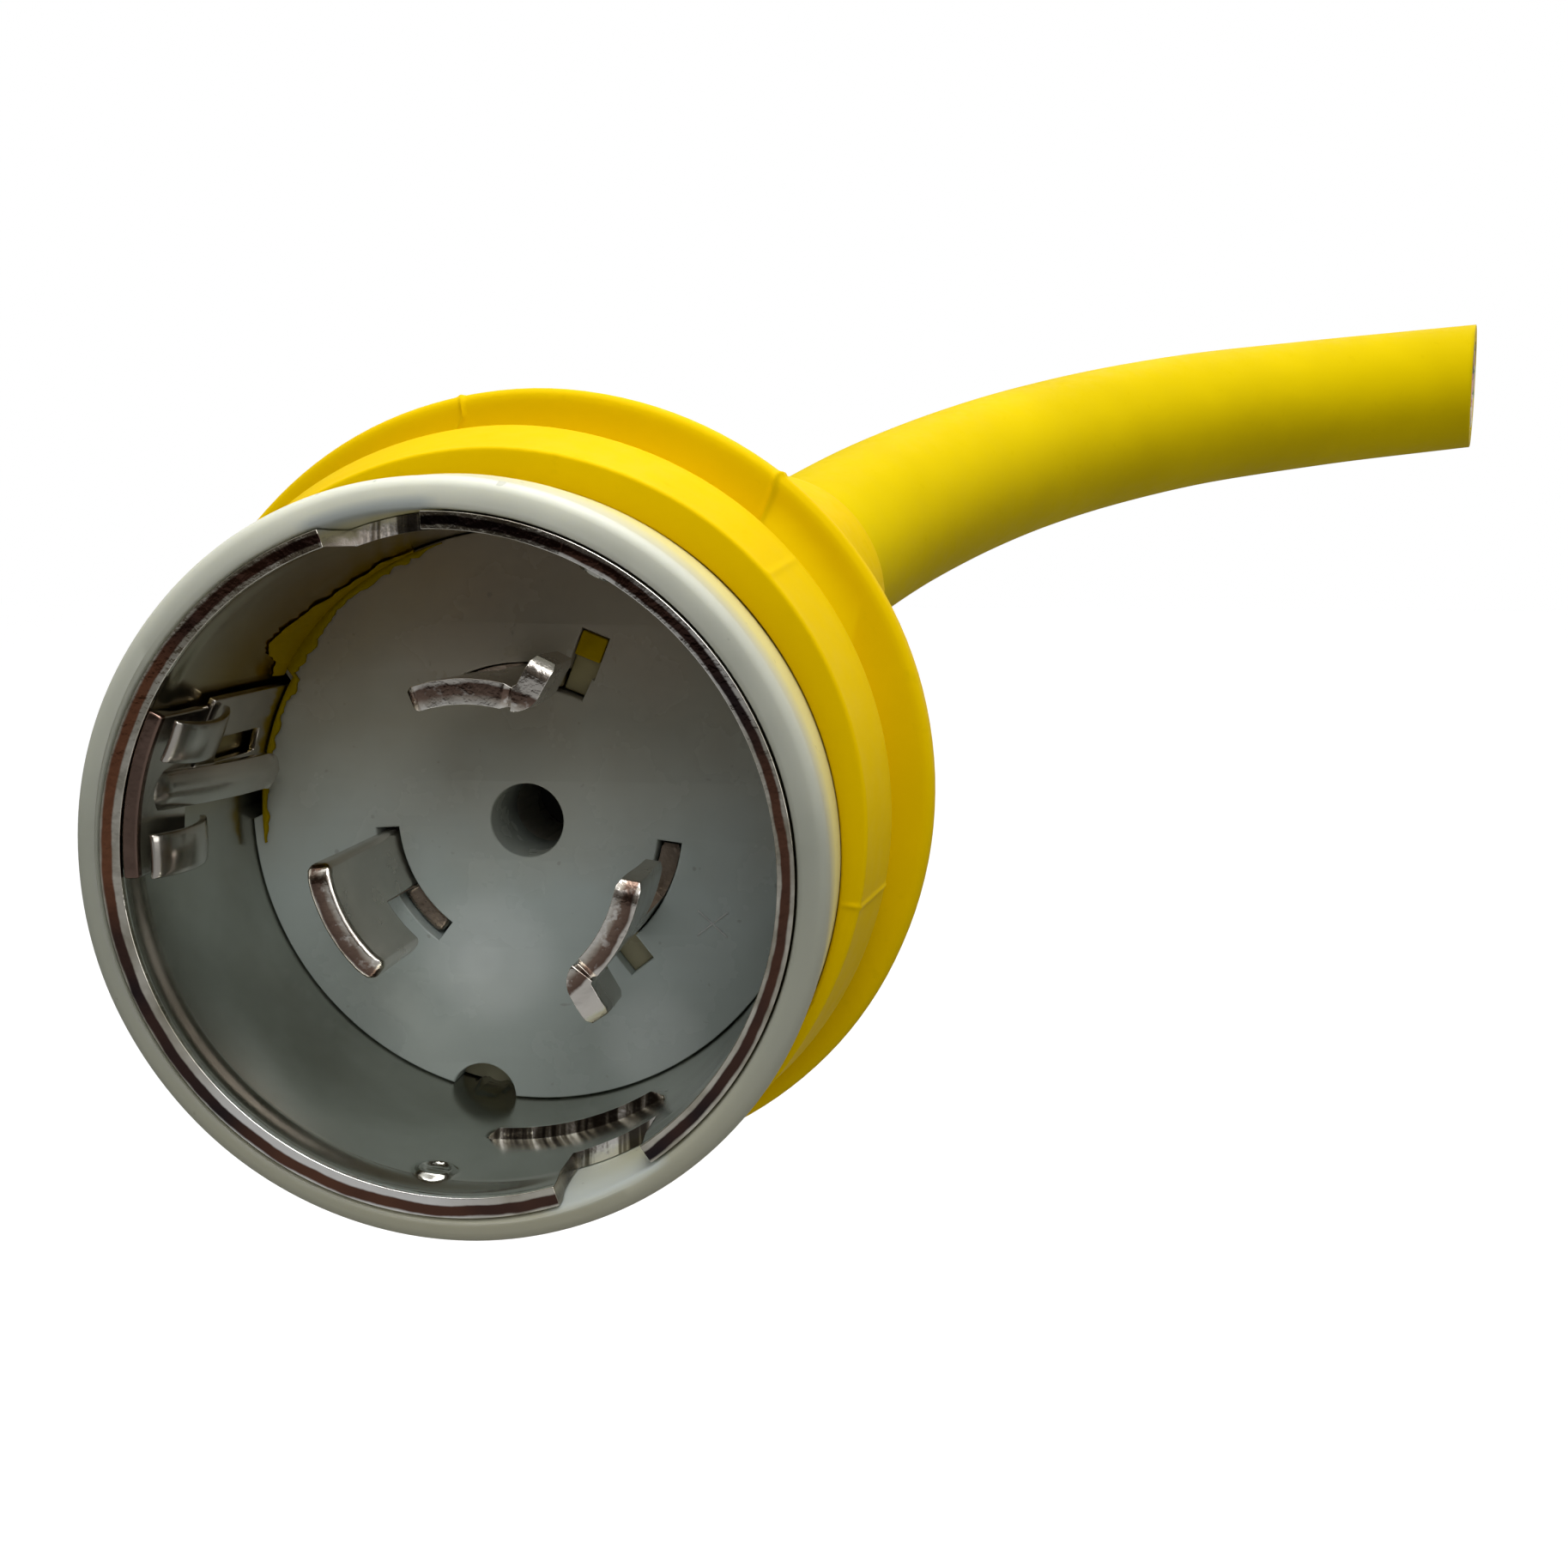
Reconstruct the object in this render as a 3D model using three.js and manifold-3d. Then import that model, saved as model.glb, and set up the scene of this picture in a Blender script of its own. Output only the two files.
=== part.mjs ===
// The plug end of a 50 A twist-lock shore power cord, as a three.js scene graph.
// Millimetres, +Z up, with the plug's axis along +Y, pointing back towards the cord. Every piece is drawn
// with the centre of the barrel's front rim at zero, and angles run round the plug's axis from +X to +Z. At
// the end the whole assembly is moved so that its origin is the middle of the bounding box's bottom.
import * as THREE from 'three';
import { mergeVertices } from 'three/addons/utils/BufferGeometryUtils.js';
import Module from 'manifold-3d';

const wasm = await Module();
wasm.setup();

// ---- Driving dimensions ----
const GAP = 0.3; // running gap left between neighbouring pieces

const BARREL_R = 28.5;
const BARREL_WALL = 2.2;
const BARREL_LENGTH = 33;
const LIP_ROUND = 1.0;

const SHELL_R = 26.0;
const SHELL_WALL = 1.1;
const SHELL_FRONT = 0.6;
const SHELL_BACK = 31;
const SHELL_INNER_R = SHELL_R - SHELL_WALL;
const NOTCH_ANGLES = [100.7, 296.7];
const NOTCH_SPAN = 17; // degrees of rim removed by each bayonet notch
const NOTCH_BOTTOM = 6.5;
const RIB = { from: 270, to: 303.5, front: 12, back: 14.6, height: 0.95 };
const DIMPLES = [[264, 4.2], [64, 4.2], [260, 26.2]]; // angle and distance back from the rim
const DIMPLE_R = 2.1;
const DIMPLE_HEIGHT = 1.2;

const DISC_R = 24.6;
const DISC_FRONT = 22;
const DISC_BACK = 30;
const CENTRE_HOLE_R = 3.2;
const REAR_HOLE_R = 3.4;
const SCALLOP = { angle: 259.7, r: 25.2, radius: 2.9 };
const STRAP_CUT = { from: 149.5, to: 181, r: 23.6 };
const REAR_R = 24.3;
const REAR_FRONT = 30.4;
const REAR_BACK = 38.2;

const BLADE_IN = 11.8;
const BLADE_OUT = 13.4;
const BLADE_TIP = 6.5;
const BLADE_SPAN = [1, 48.5]; // degrees past the slot's start
const SLOT_SPAN = [-1, 50.5];
const SLOT_MARGIN = 0.35;
const TAIL_SPAN = [14, 35];
const BLADE_NOTCH = { from: 26, front: 15.5, back: 23 };
const TAIL_BACK = 42.4;
const TAB = { angle: 4.5, width: 1.6, r: 16.9, back: 12.5 };
const POCKET = { width: 2.5, bottom: 25 };
const POCKET_R = { hot_a: 17.3, hot_b: 16.4 }; // outer end of each hooked blade's pocket
const SLOT_START = { neutral: 184, hot_a: 64, hot_b: 304 };

const CLIP = { from: 152.5, to: 183.5, front: 0.9, back: 8, lift: 0.35, thickness: 0.65 };
const FINGER_ANGLES = [156.8, 179.4];
const FINGER_WIDTH = 3.4;
const STRIP = 0.6; // thickness of the spring strip
const TONGUE = { angle: 168.2, width: 2.9, root: 4.6, tip: 18.6, foot: 1.45, lift: 3.2 };
const STRAP = { from: 151.5, to: 168, front: 8.4, turn: 39.6, back: 40.4, inner: 17.5 };
const WINDOW = { from: 160.5, to: 165.5, front: 11.9, back: 19.3 };

const CORD_R = 13.5;
const JACKET_BORE = 9.8;
const CONDUCTOR_R = 3.65;
const CONDUCTOR_BORE = 2.65;
const COPPER_R = 2.1;
const LAY_R = 5.6; // distance of each conductor's centre from the cord's centre
const FILLER_R = 1.4;
const LAY_START = 80; // first conductor's angle in the lay
const CRIMP = { r: 12.6, outer: 3.4, bore: 2.6, front: 42.8, back: 54 };
const GROUND_CRIMP = { angle: 158.2, r: 16.8 };

const PREMOULD = { front: 38.6, waist: 60, back: 74, r: 21, tail: 17 };
// The collar grows from its front face to its root, and its middle drifts up and aside on the way.
const COLLAR = { front: 8.3, r: 30.2, aside: 0.6, up: 0.75 };
const COLLAR_ROOT = { back: 15.5, r: 31.2, aside: 0.8, up: 1.5 };
const FLANGE = { front: 20.2, rim: 21.9, back: 24.6, r: 33.3, aside: 1.6, up: 2.95 };
const GRIP_R = 31.6;
const SQUARE_TO = 32;
const SLEEVE_END = 146;
const SLEEVE_R = 17.6;
const JACKET_START = 84;

const CORD_LENGTHS = 4;
const FIRST_BEND = 150;
const BEND_GAP = 3.4;
const CUT_AT = 362.6; // distance along the centre line at which the cord is cut through
const CUT_TURN = 14.8; // degrees between the cut's normal and +X: the cut is on the slant
const LEAD_END = FIRST_BEND - BEND_GAP / 2;
const LEAD_STEPS = 15;
const ROUND = 40; // facets round the large turned pieces

// ---- Materials ----
function finish(color, roughness, metalness = 0) {
  return new THREE.MeshStandardMaterial({ color, roughness, metalness });
}

const NYLON = finish(0xcdd0c8, 0.35);
const YELLOW = finish(0xe6c400, 0.45);
const NICKEL = finish(0xb9b4a8, 0.25, 1);
const COPPER = finish(0xb8693a, 0.35, 1);
const PREMOULD_GREY = finish(0x3a3a38, 0.6);
const FILLER = finish(0xb9a888, 0.9);
const CONDUCTORS = [
  { name: 'black', material: finish(0x1c1c1c, 0.5), terminal: 'hot_a' },
  { name: 'green', material: finish(0x2f7a3a, 0.5), terminal: 'ground' },
  { name: 'white', material: finish(0xe6e4dc, 0.5), terminal: 'neutral' },
  { name: 'red', material: finish(0xb02318, 0.5), terminal: 'hot_b' },
];

// ---- The cord's centre line: it lifts out of the straight plug, then swings to the right ----
const CENTRE_LINE = new THREE.CatmullRomCurve3([
  [0, 0, 0],
  [-0.2, 12, 0.3],
  [-0.1, 26, 1.4],
  [0.5, 60, 4.6],
  [1.4, 100, 8.2],
  [4.2, 143, 15.6],
  [19.4, 182, 27.2],
  [42.7, 221, 37.9],
  [71, 252, 45.8],
  [104, 278.5, 51.4],
  [142, 297, 56.2],
  [166, 307.5, 59.2],
].map((p) => new THREE.Vector3(...p)), false, 'centripetal');
CENTRE_LINE.arcLengthDivisions = 800;
const LINE_LENGTH = CENTRE_LINE.getLength();
const BEND_STEP = (CUT_AT - FIRST_BEND) / CORD_LENGTHS;

// Point and axes of the centre line at a distance s along it.
// Sections near the front stay square to the barrel.
function stationAt(s) {
  const u = THREE.MathUtils.clamp(s / LINE_LENGTH, 0, 1);
  const point = CENTRE_LINE.getPointAt(u);
  const turn = THREE.MathUtils.smoothstep(s, SQUARE_TO, SQUARE_TO + 30);
  const along = new THREE.Vector3(0, 1, 0).lerp(CENTRE_LINE.getTangentAt(u), turn).normalize();
  const up = new THREE.Vector3(0, 0, 1).addScaledVector(along, -along.z).normalize();
  const side = new THREE.Vector3().crossVectors(along, up);
  return { point, along, up, side };
}

// ---- Geometry helpers ----
const rad = THREE.MathUtils.degToRad;
const polar = (r, degrees) => new THREE.Vector2(r * Math.cos(rad(degrees)), r * Math.sin(rad(degrees)));

// Bends a geometry that was made round the +Y axis on to the centre line.
function bend(geometry) {
  const at = geometry.attributes.position;
  for (let i = 0; i < at.count; i += 1) {
    const { point, up, side } = stationAt(at.getY(i));
    point.addScaledVector(side, at.getX(i)).addScaledVector(up, at.getZ(i));
    at.setXYZ(i, point.x, point.y, point.z);
  }
  return geometry;
}

// Six times the signed volume: negative when the faces point inwards.
function signedVolume(positions, triangles) {
  const corner = (k) => new THREE.Vector3().fromArray(positions, 3 * k);
  let total = 0;
  for (let t = 0; t < triangles.length; t += 3) {
    const [a, b, c] = [corner(triangles[t]), corner(triangles[t + 1]), corner(triangles[t + 2])];
    total += a.dot(b.cross(c));
  }
  return total;
}

// A closed geometry as a manifold solid, with its faces pointing out.
function solid(geometry) {
  const bare = geometry.clone();
  bare.deleteAttribute('normal');
  bare.deleteAttribute('uv');
  const merged = mergeVertices(bare, 1e-4);
  const positions = merged.attributes.position.array;
  const triangles = [];
  const index = merged.index.array;
  for (let t = 0; t < index.length; t += 3) {
    const [a, b, c] = [index[t], index[t + 1], index[t + 2]];
    if (a !== b && b !== c && c !== a) triangles.push(a, b, c);
  }
  if (signedVolume(positions, triangles) < 0) triangles.reverse();
  return new wasm.Manifold(new wasm.Mesh({
    numProp: 3,
    vertProperties: new Float32Array(positions),
    triVerts: new Uint32Array(triangles),
  }));
}

// Back from a manifold solid to a three.js geometry.
function geometryOf(body) {
  const { numProp, vertProperties, triVerts } = body.getMesh();
  const positions = new Float32Array(vertProperties.length / numProp * 3);
  for (let i = 0; i < positions.length / 3; i += 1) {
    for (let k = 0; k < 3; k += 1) positions[3 * i + k] = vertProperties[numProp * i + k];
  }
  const geometry = new THREE.BufferGeometry();
  geometry.setAttribute('position', new THREE.BufferAttribute(positions, 3));
  geometry.setIndex(new THREE.BufferAttribute(new Uint32Array(triVerts), 1));
  geometry.computeVertexNormals();
  return geometry;
}

// Splits long edges of a profile, so that it can follow the centre line when bent.
function subdivided(profile, step) {
  const out = [profile[0]];
  for (let i = 1; i < profile.length; i += 1) {
    const [a, b] = [profile[i - 1], profile[i]];
    const parts = Math.max(1, Math.ceil(Math.abs(b[1] - a[1]) / step));
    for (let k = 1; k <= parts; k += 1) {
      out.push([a[0] + (b[0] - a[0]) * k / parts, a[1] + (b[1] - a[1]) * k / parts]);
    }
  }
  return out;
}

// Turns a profile of [radius, distance back] points round the +Y axis.
function turned(profile, facets = ROUND) {
  return new THREE.LatheGeometry(profile.map((p) => new THREE.Vector2(...p)), facets);
}

function rod(r, front, back, facets = ROUND) {
  return turned([[0, front], [r, front], [r, back], [0, back]], facets);
}

function tube(inner, outer, front, back, facets = ROUND) {
  return turned([[inner, front], [outer, front], [outer, back], [inner, back], [inner, front]], facets);
}

// Extrudes an outline drawn in the X-Z plane along the plug's axis.
function extruded(shape, front, back) {
  const geometry = new THREE.ExtrudeGeometry(shape, { depth: back - front, bevelEnabled: false });
  return geometry.rotateX(Math.PI / 2).translate(0, back, 0);
}

// A curved strip of the ring between two radii and two angles.
function arcBlock(inner, outer, from, to, front, back) {
  const parts = Math.max(2, Math.ceil(Math.abs(to - from) / 5));
  const points = [];
  for (let k = 0; k <= parts; k += 1) points.push(polar(outer, from + (to - from) * k / parts));
  for (let k = parts; k >= 0; k -= 1) points.push(polar(inner, from + (to - from) * k / parts));
  return extruded(new THREE.Shape(points), front, back);
}

// A straight-sided block that stands out radially at one angle.
function radialBlock(inner, outer, angle, width, front, back) {
  const box = new THREE.BoxGeometry(outer - inner, back - front, width);
  return box.translate((inner + outer) / 2, (front + back) / 2, 0).rotateY(-rad(angle));
}

// A bent spring strip on the shell's inner wall, drawn as [distance back, height off the wall] points.
function wallStrip(points, angle, width, thickness) {
  const line = points.map((p) => new THREE.Vector2(...p));
  const offset = line.map((p, i) => {
    const before = line[Math.max(0, i - 1)];
    const after = line[Math.min(line.length - 1, i + 1)];
    const run = new THREE.Vector2().subVectors(after, before).normalize();
    return new THREE.Vector2(-run.y, run.x).multiplyScalar(thickness / 2);
  });
  const upper = line.map((p, i) => p.clone().add(offset[i]));
  const lower = line.map((p, i) => p.clone().sub(offset[i])).reverse();
  const side = new THREE.Shape([...upper, ...lower]);
  const geometry = new THREE.ExtrudeGeometry(side, { depth: width, bevelEnabled: false });
  geometry.translate(0, -SHELL_INNER_R, -width / 2);
  const outward = new THREE.Vector3(Math.cos(rad(angle)), 0, Math.sin(rad(angle)));
  const across = new THREE.Vector3(-outward.z, 0, outward.x);
  const place = new THREE.Matrix4().makeBasis(new THREE.Vector3(0, 1, 0), outward.clone().negate(), across);
  return geometry.applyMatrix4(place);
}

// A round section swept along a curve, solid or with a bore.
function swept(curve, outer, bore, steps, facets) {
  const ring = (r) => Array.from({ length: facets }, (_, k) => polar(r, 360 * k / facets));
  const shape = new THREE.Shape(ring(outer));
  if (bore > 0) shape.holes.push(new THREE.Path(ring(bore)));
  return new THREE.ExtrudeGeometry(shape, { steps, extrudePath: curve });
}

const plug = new THREE.Group();

function add(name, geometry, material) {
  const mesh = new THREE.Mesh(geometry, material);
  mesh.name = name;
  plug.add(mesh);
}

// ---- Barrel and ground shell ----
function barrelSleeve() {
  const inner = BARREL_R - BARREL_WALL;
  return turned([
    [inner, LIP_ROUND * 0.5],
    [inner + LIP_ROUND * 0.5, 0],
    [BARREL_R - LIP_ROUND, 0],
    [BARREL_R - LIP_ROUND * 0.3, LIP_ROUND * 0.3],
    [BARREL_R, LIP_ROUND],
    [BARREL_R, BARREL_LENGTH],
    [inner, BARREL_LENGTH],
    [inner, LIP_ROUND * 0.5],
  ]);
}

function groundShell() {
  let shell = solid(tube(SHELL_INNER_R, SHELL_R, SHELL_FRONT, SHELL_BACK));
  const ribInner = SHELL_INNER_R - RIB.height;
  shell = shell.add(solid(arcBlock(ribInner, SHELL_INNER_R + 0.5, RIB.from, RIB.to, RIB.front, RIB.back)));
  for (const [angle, back] of DIMPLES) {
    const boss = new THREE.CylinderGeometry(DIMPLE_R, DIMPLE_R * 0.75, DIMPLE_HEIGHT + 0.6, 14);
    boss.rotateZ(-Math.PI / 2).translate(SHELL_INNER_R + 0.3 - DIMPLE_HEIGHT / 2, 0, 0).rotateY(-rad(angle));
    shell = shell.add(solid(boss.translate(0, back, 0)));
  }
  for (const angle of NOTCH_ANGLES) {
    const [from, to] = [angle - NOTCH_SPAN / 2, angle + NOTCH_SPAN / 2];
    shell = shell.subtract(solid(arcBlock(SHELL_INNER_R - 1, SHELL_R + 1, from, to, -1, NOTCH_BOTTOM)));
  }
  return geometryOf(shell);
}

// ---- Insulators ----
function bladeSlot(start, front, back, span) {
  const [inner, outer] = [BLADE_IN - SLOT_MARGIN, BLADE_OUT + SLOT_MARGIN];
  return solid(arcBlock(inner, outer, start + span[0], start + span[1], front, back));
}

function insulatorDisc() {
  let disc = solid(rod(DISC_R, DISC_FRONT, DISC_BACK));
  const [front, back] = [DISC_FRONT - 1, DISC_BACK + 1];
  disc = disc.subtract(solid(rod(CENTRE_HOLE_R, front, back, 24)));
  const scallop = polar(SCALLOP.r, SCALLOP.angle);
  disc = disc.subtract(solid(rod(SCALLOP.radius, front, back, 24).translate(scallop.x, 0, scallop.y)));
  disc = disc.subtract(solid(arcBlock(STRAP_CUT.r, DISC_R + 2, STRAP_CUT.from, STRAP_CUT.to, front, back)));
  for (const start of Object.values(SLOT_START)) {
    disc = disc.subtract(bladeSlot(start, front, back, SLOT_SPAN));
  }
  for (const [terminal, r] of Object.entries(POCKET_R)) {
    const angle = SLOT_START[terminal] + TAB.angle;
    disc = disc.subtract(solid(radialBlock(BLADE_OUT, r, angle, POCKET.width, front, POCKET.bottom)));
  }
  return geometryOf(disc);
}

function rearInsulator() {
  let plate = solid(rod(REAR_R, REAR_FRONT, REAR_BACK));
  const [front, back] = [REAR_FRONT - 1, REAR_BACK + 1];
  plate = plate.subtract(solid(rod(REAR_HOLE_R, front, back, 24)));
  plate = plate.subtract(solid(arcBlock(STRAP_CUT.r, REAR_R + 2, STRAP_CUT.from, STRAP_CUT.to, front, back)));
  const scallop = polar(SCALLOP.r, SCALLOP.angle);
  plate = plate.subtract(solid(rod(SCALLOP.radius, front, back, 20).translate(scallop.x, 0, scallop.y)));
  for (const start of Object.values(SLOT_START)) {
    plate = plate.subtract(bladeSlot(start, front, back, [TAIL_SPAN[0] - 2, TAIL_SPAN[1] + 2]));
  }
  return geometryOf(plate);
}

// ---- Contacts ----
function blade(start, hooked) {
  const [from, to] = [start + BLADE_SPAN[0], start + BLADE_SPAN[1]];
  let body = solid(arcBlock(BLADE_IN, BLADE_OUT, from, to, BLADE_TIP, DISC_BACK - 0.4));
  const [tailFrom, tailTo] = [start + TAIL_SPAN[0], start + TAIL_SPAN[1]];
  body = body.add(solid(arcBlock(BLADE_IN, BLADE_OUT, tailFrom, tailTo, DISC_BACK - 1, TAIL_BACK)));
  const { from: notchFrom, front, back } = BLADE_NOTCH;
  body = body.subtract(solid(arcBlock(BLADE_IN - 1, BLADE_OUT + 1, start + notchFrom, to + 2, front, back)));
  if (hooked) {
    const tab = radialBlock(BLADE_IN + 0.3, TAB.r, start + TAB.angle, TAB.width, BLADE_TIP, TAB.back);
    body = body.add(solid(tab));
  }
  return geometryOf(body);
}

function groundClip() {
  const outer = SHELL_INNER_R - CLIP.lift;
  const inner = outer - CLIP.thickness;
  let clip = solid(arcBlock(inner, outer, CLIP.from, CLIP.to, CLIP.front, CLIP.back));
  clip = clip.add(solid(arcBlock(inner - 0.4, outer, CLIP.from, CLIP.to, CLIP.front, CLIP.front + 1.1)));
  for (const angle of FINGER_ANGLES) {
    const curl = [[1.9, 0.9], [2.3, 2.0], [3.6, 2.7], [6.6, 2.9], [8.4, 2.6], [9.7, 1.75]];
    clip = clip.add(solid(wallStrip(curl, angle, FINGER_WIDTH, STRIP)));
  }
  return geometryOf(clip);
}

function groundTongue() {
  const parts = 5;
  const rise = [];
  for (let k = 0; k <= parts; k += 1) {
    const back = THREE.MathUtils.lerp(TONGUE.root, TONGUE.tip, k / parts);
    rise.push([back, THREE.MathUtils.lerp(TONGUE.foot, TONGUE.lift, Math.sin(Math.PI / 2 * k / parts))]);
  }
  return geometryOf(solid(wallStrip(rise, TONGUE.angle, TONGUE.width, STRIP * 0.9)));
}

function groundStrap() {
  const outer = SHELL_INNER_R - CLIP.lift;
  const inner = outer - CLIP.thickness;
  let strap = solid(arcBlock(inner, outer, STRAP.from, STRAP.to, STRAP.front, STRAP.back));
  strap = strap.add(solid(arcBlock(STRAP.inner, outer, STRAP.from, STRAP.to, STRAP.turn, STRAP.back)));
  const { from, to, front, back } = WINDOW;
  strap = strap.subtract(solid(arcBlock(inner - 1, outer + 1, from, to, front, back)));
  return geometryOf(strap);
}

// ---- Terminals and leads ----
function terminalPlace(terminal) {
  if (terminal === 'ground') return polar(GROUND_CRIMP.r, GROUND_CRIMP.angle);
  const middle = (TAIL_SPAN[0] + TAIL_SPAN[1]) / 2;
  return polar(CRIMP.r, SLOT_START[terminal] + middle);
}

function leadCurve(conductor, front, back) {
  const place = terminalPlace(CONDUCTORS[conductor].terminal);
  const straight = [front, CRIMP.back + 2, CRIMP.back + 5];
  const points = straight.map((y) => new THREE.Vector3(place.x, y, place.y));
  for (let s = JACKET_START - 2; s <= back - 6; s += 12) points.push(layPoint(conductor, s));
  points.push(layPoint(conductor, back));
  return new THREE.CatmullRomCurve3(points, false, 'centripetal');
}

// Centre of a conductor at a distance s along the cord.
function layPoint(conductor, s) {
  const offset = polar(LAY_R, LAY_START + 90 * conductor);
  const { point, up, side } = stationAt(s);
  return point.addScaledVector(side, offset.x).addScaledVector(up, offset.y);
}

function crimp(terminal) {
  const place = terminalPlace(terminal);
  return tube(CRIMP.bore, CRIMP.outer, CRIMP.front, CRIMP.back, 16).translate(place.x, 0, place.y);
}

// The hollow a crimp leaves in the moulding round it.
function crimpRoom(terminal) {
  const place = terminalPlace(terminal);
  return rod(CRIMP.outer + GAP, CRIMP.front - GAP, CRIMP.back + 2, 16).translate(place.x, 0, place.y);
}

function lead(conductor, outer, bore) {
  return swept(leadCurve(conductor, CRIMP.back + 0.6, LEAD_END), outer, bore, LEAD_STEPS, 9);
}

// ---- Mouldings ----
// The room the ground strap's turned-in end needs, between two radii.
function strapRoom(inner, outer) {
  const [from, to] = [STRAP.from - 2, STRAP.to + 2];
  return solid(arcBlock(inner, outer, from, to, PREMOULD.front - 1, STRAP.back + GAP));
}

function innerPremould() {
  let block = solid(turned([
    [0, PREMOULD.front],
    [PREMOULD.r, PREMOULD.front],
    [PREMOULD.r, PREMOULD.waist],
    [PREMOULD.tail, PREMOULD.back],
    [0, PREMOULD.back],
  ]));
  block = block.subtract(strapRoom(STRAP.inner - 1, PREMOULD.r + 2));
  CONDUCTORS.forEach(({ terminal }, k) => {
    block = block.subtract(solid(crimpRoom(terminal)));
    block = block.subtract(solid(lead(k, CONDUCTOR_R + GAP, 0)));
    if (terminal !== 'ground') {
      const start = SLOT_START[terminal];
      const [from, to] = [start + TAIL_SPAN[0] - 2, start + TAIL_SPAN[1] + 2];
      const tailRoom = arcBlock(BLADE_IN - GAP, BLADE_OUT + GAP, from, to, PREMOULD.front - 1, CRIMP.front);
      block = block.subtract(solid(tailRoom));
    }
  });
  return geometryOf(block);
}

function collar() {
  const shape = turned([
    [0, COLLAR.front],
    [COLLAR.r - 0.3, COLLAR.front],
    [COLLAR.r, COLLAR.front + 0.3],
    [COLLAR_ROOT.r, COLLAR_ROOT.back],
    [COLLAR_ROOT.r, FLANGE.front + 1],
    [0, FLANGE.front + 1],
  ]);
  const at = shape.attributes.position;
  for (let i = 0; i < at.count; i += 1) {
    const t = THREE.MathUtils.clamp((at.getY(i) - COLLAR.front) / (COLLAR_ROOT.back - COLLAR.front), 0, 1);
    const aside = THREE.MathUtils.lerp(COLLAR.aside, COLLAR_ROOT.aside, t);
    const up = THREE.MathUtils.lerp(COLLAR.up, COLLAR_ROOT.up, t);
    at.setXYZ(i, at.getX(i) + aside, at.getY(i), at.getZ(i) + up);
  }
  return shape;
}

function mouldedBody() {
  const outline = [
    [0, FLANGE.front + 0.5],
    [GRIP_R, FLANGE.front + 0.5],
    [GRIP_R, FLANGE.back + 1],
    [GRIP_R - 0.6, 42],
    [GRIP_R - 3, 54],
    [GRIP_R - 6.2, 70],
    [22.3, 90],
    [20, 110],
    [18.4, 130],
    [SLEEVE_R, SLEEVE_END - 2.5],
    [SLEEVE_R - 1.2, SLEEVE_END - 0.6],
    [SLEEVE_R - 2.8, SLEEVE_END],
    [0, SLEEVE_END],
  ];
  let body = solid(bend(turned(subdivided(outline, 14))));
  body = body.add(solid(collar()));
  const flange = turned([
    [0, FLANGE.front],
    [FLANGE.r - 1.6, FLANGE.front + 0.5],
    [FLANGE.r - 0.5, FLANGE.front + 1],
    [FLANGE.r, FLANGE.rim],
    [FLANGE.r, FLANGE.back - 0.7],
    [FLANGE.r - 0.7, FLANGE.back],
    [0, FLANGE.back],
  ]);
  body = body.add(solid(flange.translate(FLANGE.aside, 0, FLANGE.up)));
  const barrelBore = turned([
    [0, -5],
    [BARREL_R + GAP, -5],
    [BARREL_R + GAP, BARREL_LENGTH + GAP],
    [SHELL_INNER_R + GAP, BARREL_LENGTH + GAP],
    [SHELL_INNER_R + GAP, PREMOULD.front],
    [PREMOULD.r + GAP, PREMOULD.front],
    [PREMOULD.r + GAP, PREMOULD.waist],
    [PREMOULD.tail + GAP, PREMOULD.back + GAP],
    [0, PREMOULD.back + GAP],
  ]);
  body = body.subtract(solid(barrelBore));
  body = body.subtract(strapRoom(STRAP.inner, SHELL_INNER_R));
  const [boreR, boreFront, boreEnd] = [CORD_R + GAP, PREMOULD.back - 3, SLEEVE_END + 6];
  const cordBore = [[0, boreFront], [boreR, boreFront], [boreR, boreEnd], [0, boreEnd]];
  body = body.subtract(solid(bend(turned(subdivided(cordBore, 14), 26))));
  return geometryOf(body);
}

// Yellow skin torn off in the corner between the liner's wall and the disc.
function mouldingFlash() {
  return arcBlock(23.2, SHELL_INNER_R - GAP, 113, 148.5, DISC_FRONT - 1.5, DISC_FRONT - GAP);
}

function pocketPlug() {
  const inner = BLADE_OUT + SLOT_MARGIN + 0.4;
  const [outer, angle] = [POCKET_R.hot_a - GAP, SLOT_START.hot_a + TAB.angle];
  return radialBlock(inner, outer, angle, POCKET.width - 2 * GAP, DISC_FRONT + 0.2, POCKET.bottom - GAP);
}

// Cuts off whatever lies past the cord's slanted end.
function cutOff(geometry) {
  const waste = new THREE.BoxGeometry(80, 160, 160).translate(40, 0, 0).rotateZ(-rad(CUT_TURN));
  const { x, y, z } = stationAt(CUT_AT).point;
  return geometryOf(solid(geometry).subtract(solid(waste.translate(x, y, z))));
}

// ---- Cord lengths, split at the hinges that stand in for its bending ----
function jacket(from, to) {
  return bend(turned(subdivided([
    [JACKET_BORE, from],
    [CORD_R, from],
    [CORD_R, to],
    [JACKET_BORE, to],
    [JACKET_BORE, from],
  ], 12), 24));
}

// A solid round length that follows the centre line.
function roundLength(r, from, to, facets) {
  return bend(turned(subdivided([[0, from], [r, from], [r, to], [0, to]], 12), facets));
}

function layCurve(conductor, from, to) {
  const points = [];
  for (let k = 0; k <= 5; k += 1) points.push(layPoint(conductor, from + (to - from) * k / 5));
  return new THREE.CatmullRomCurve3(points, false, 'centripetal');
}

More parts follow.
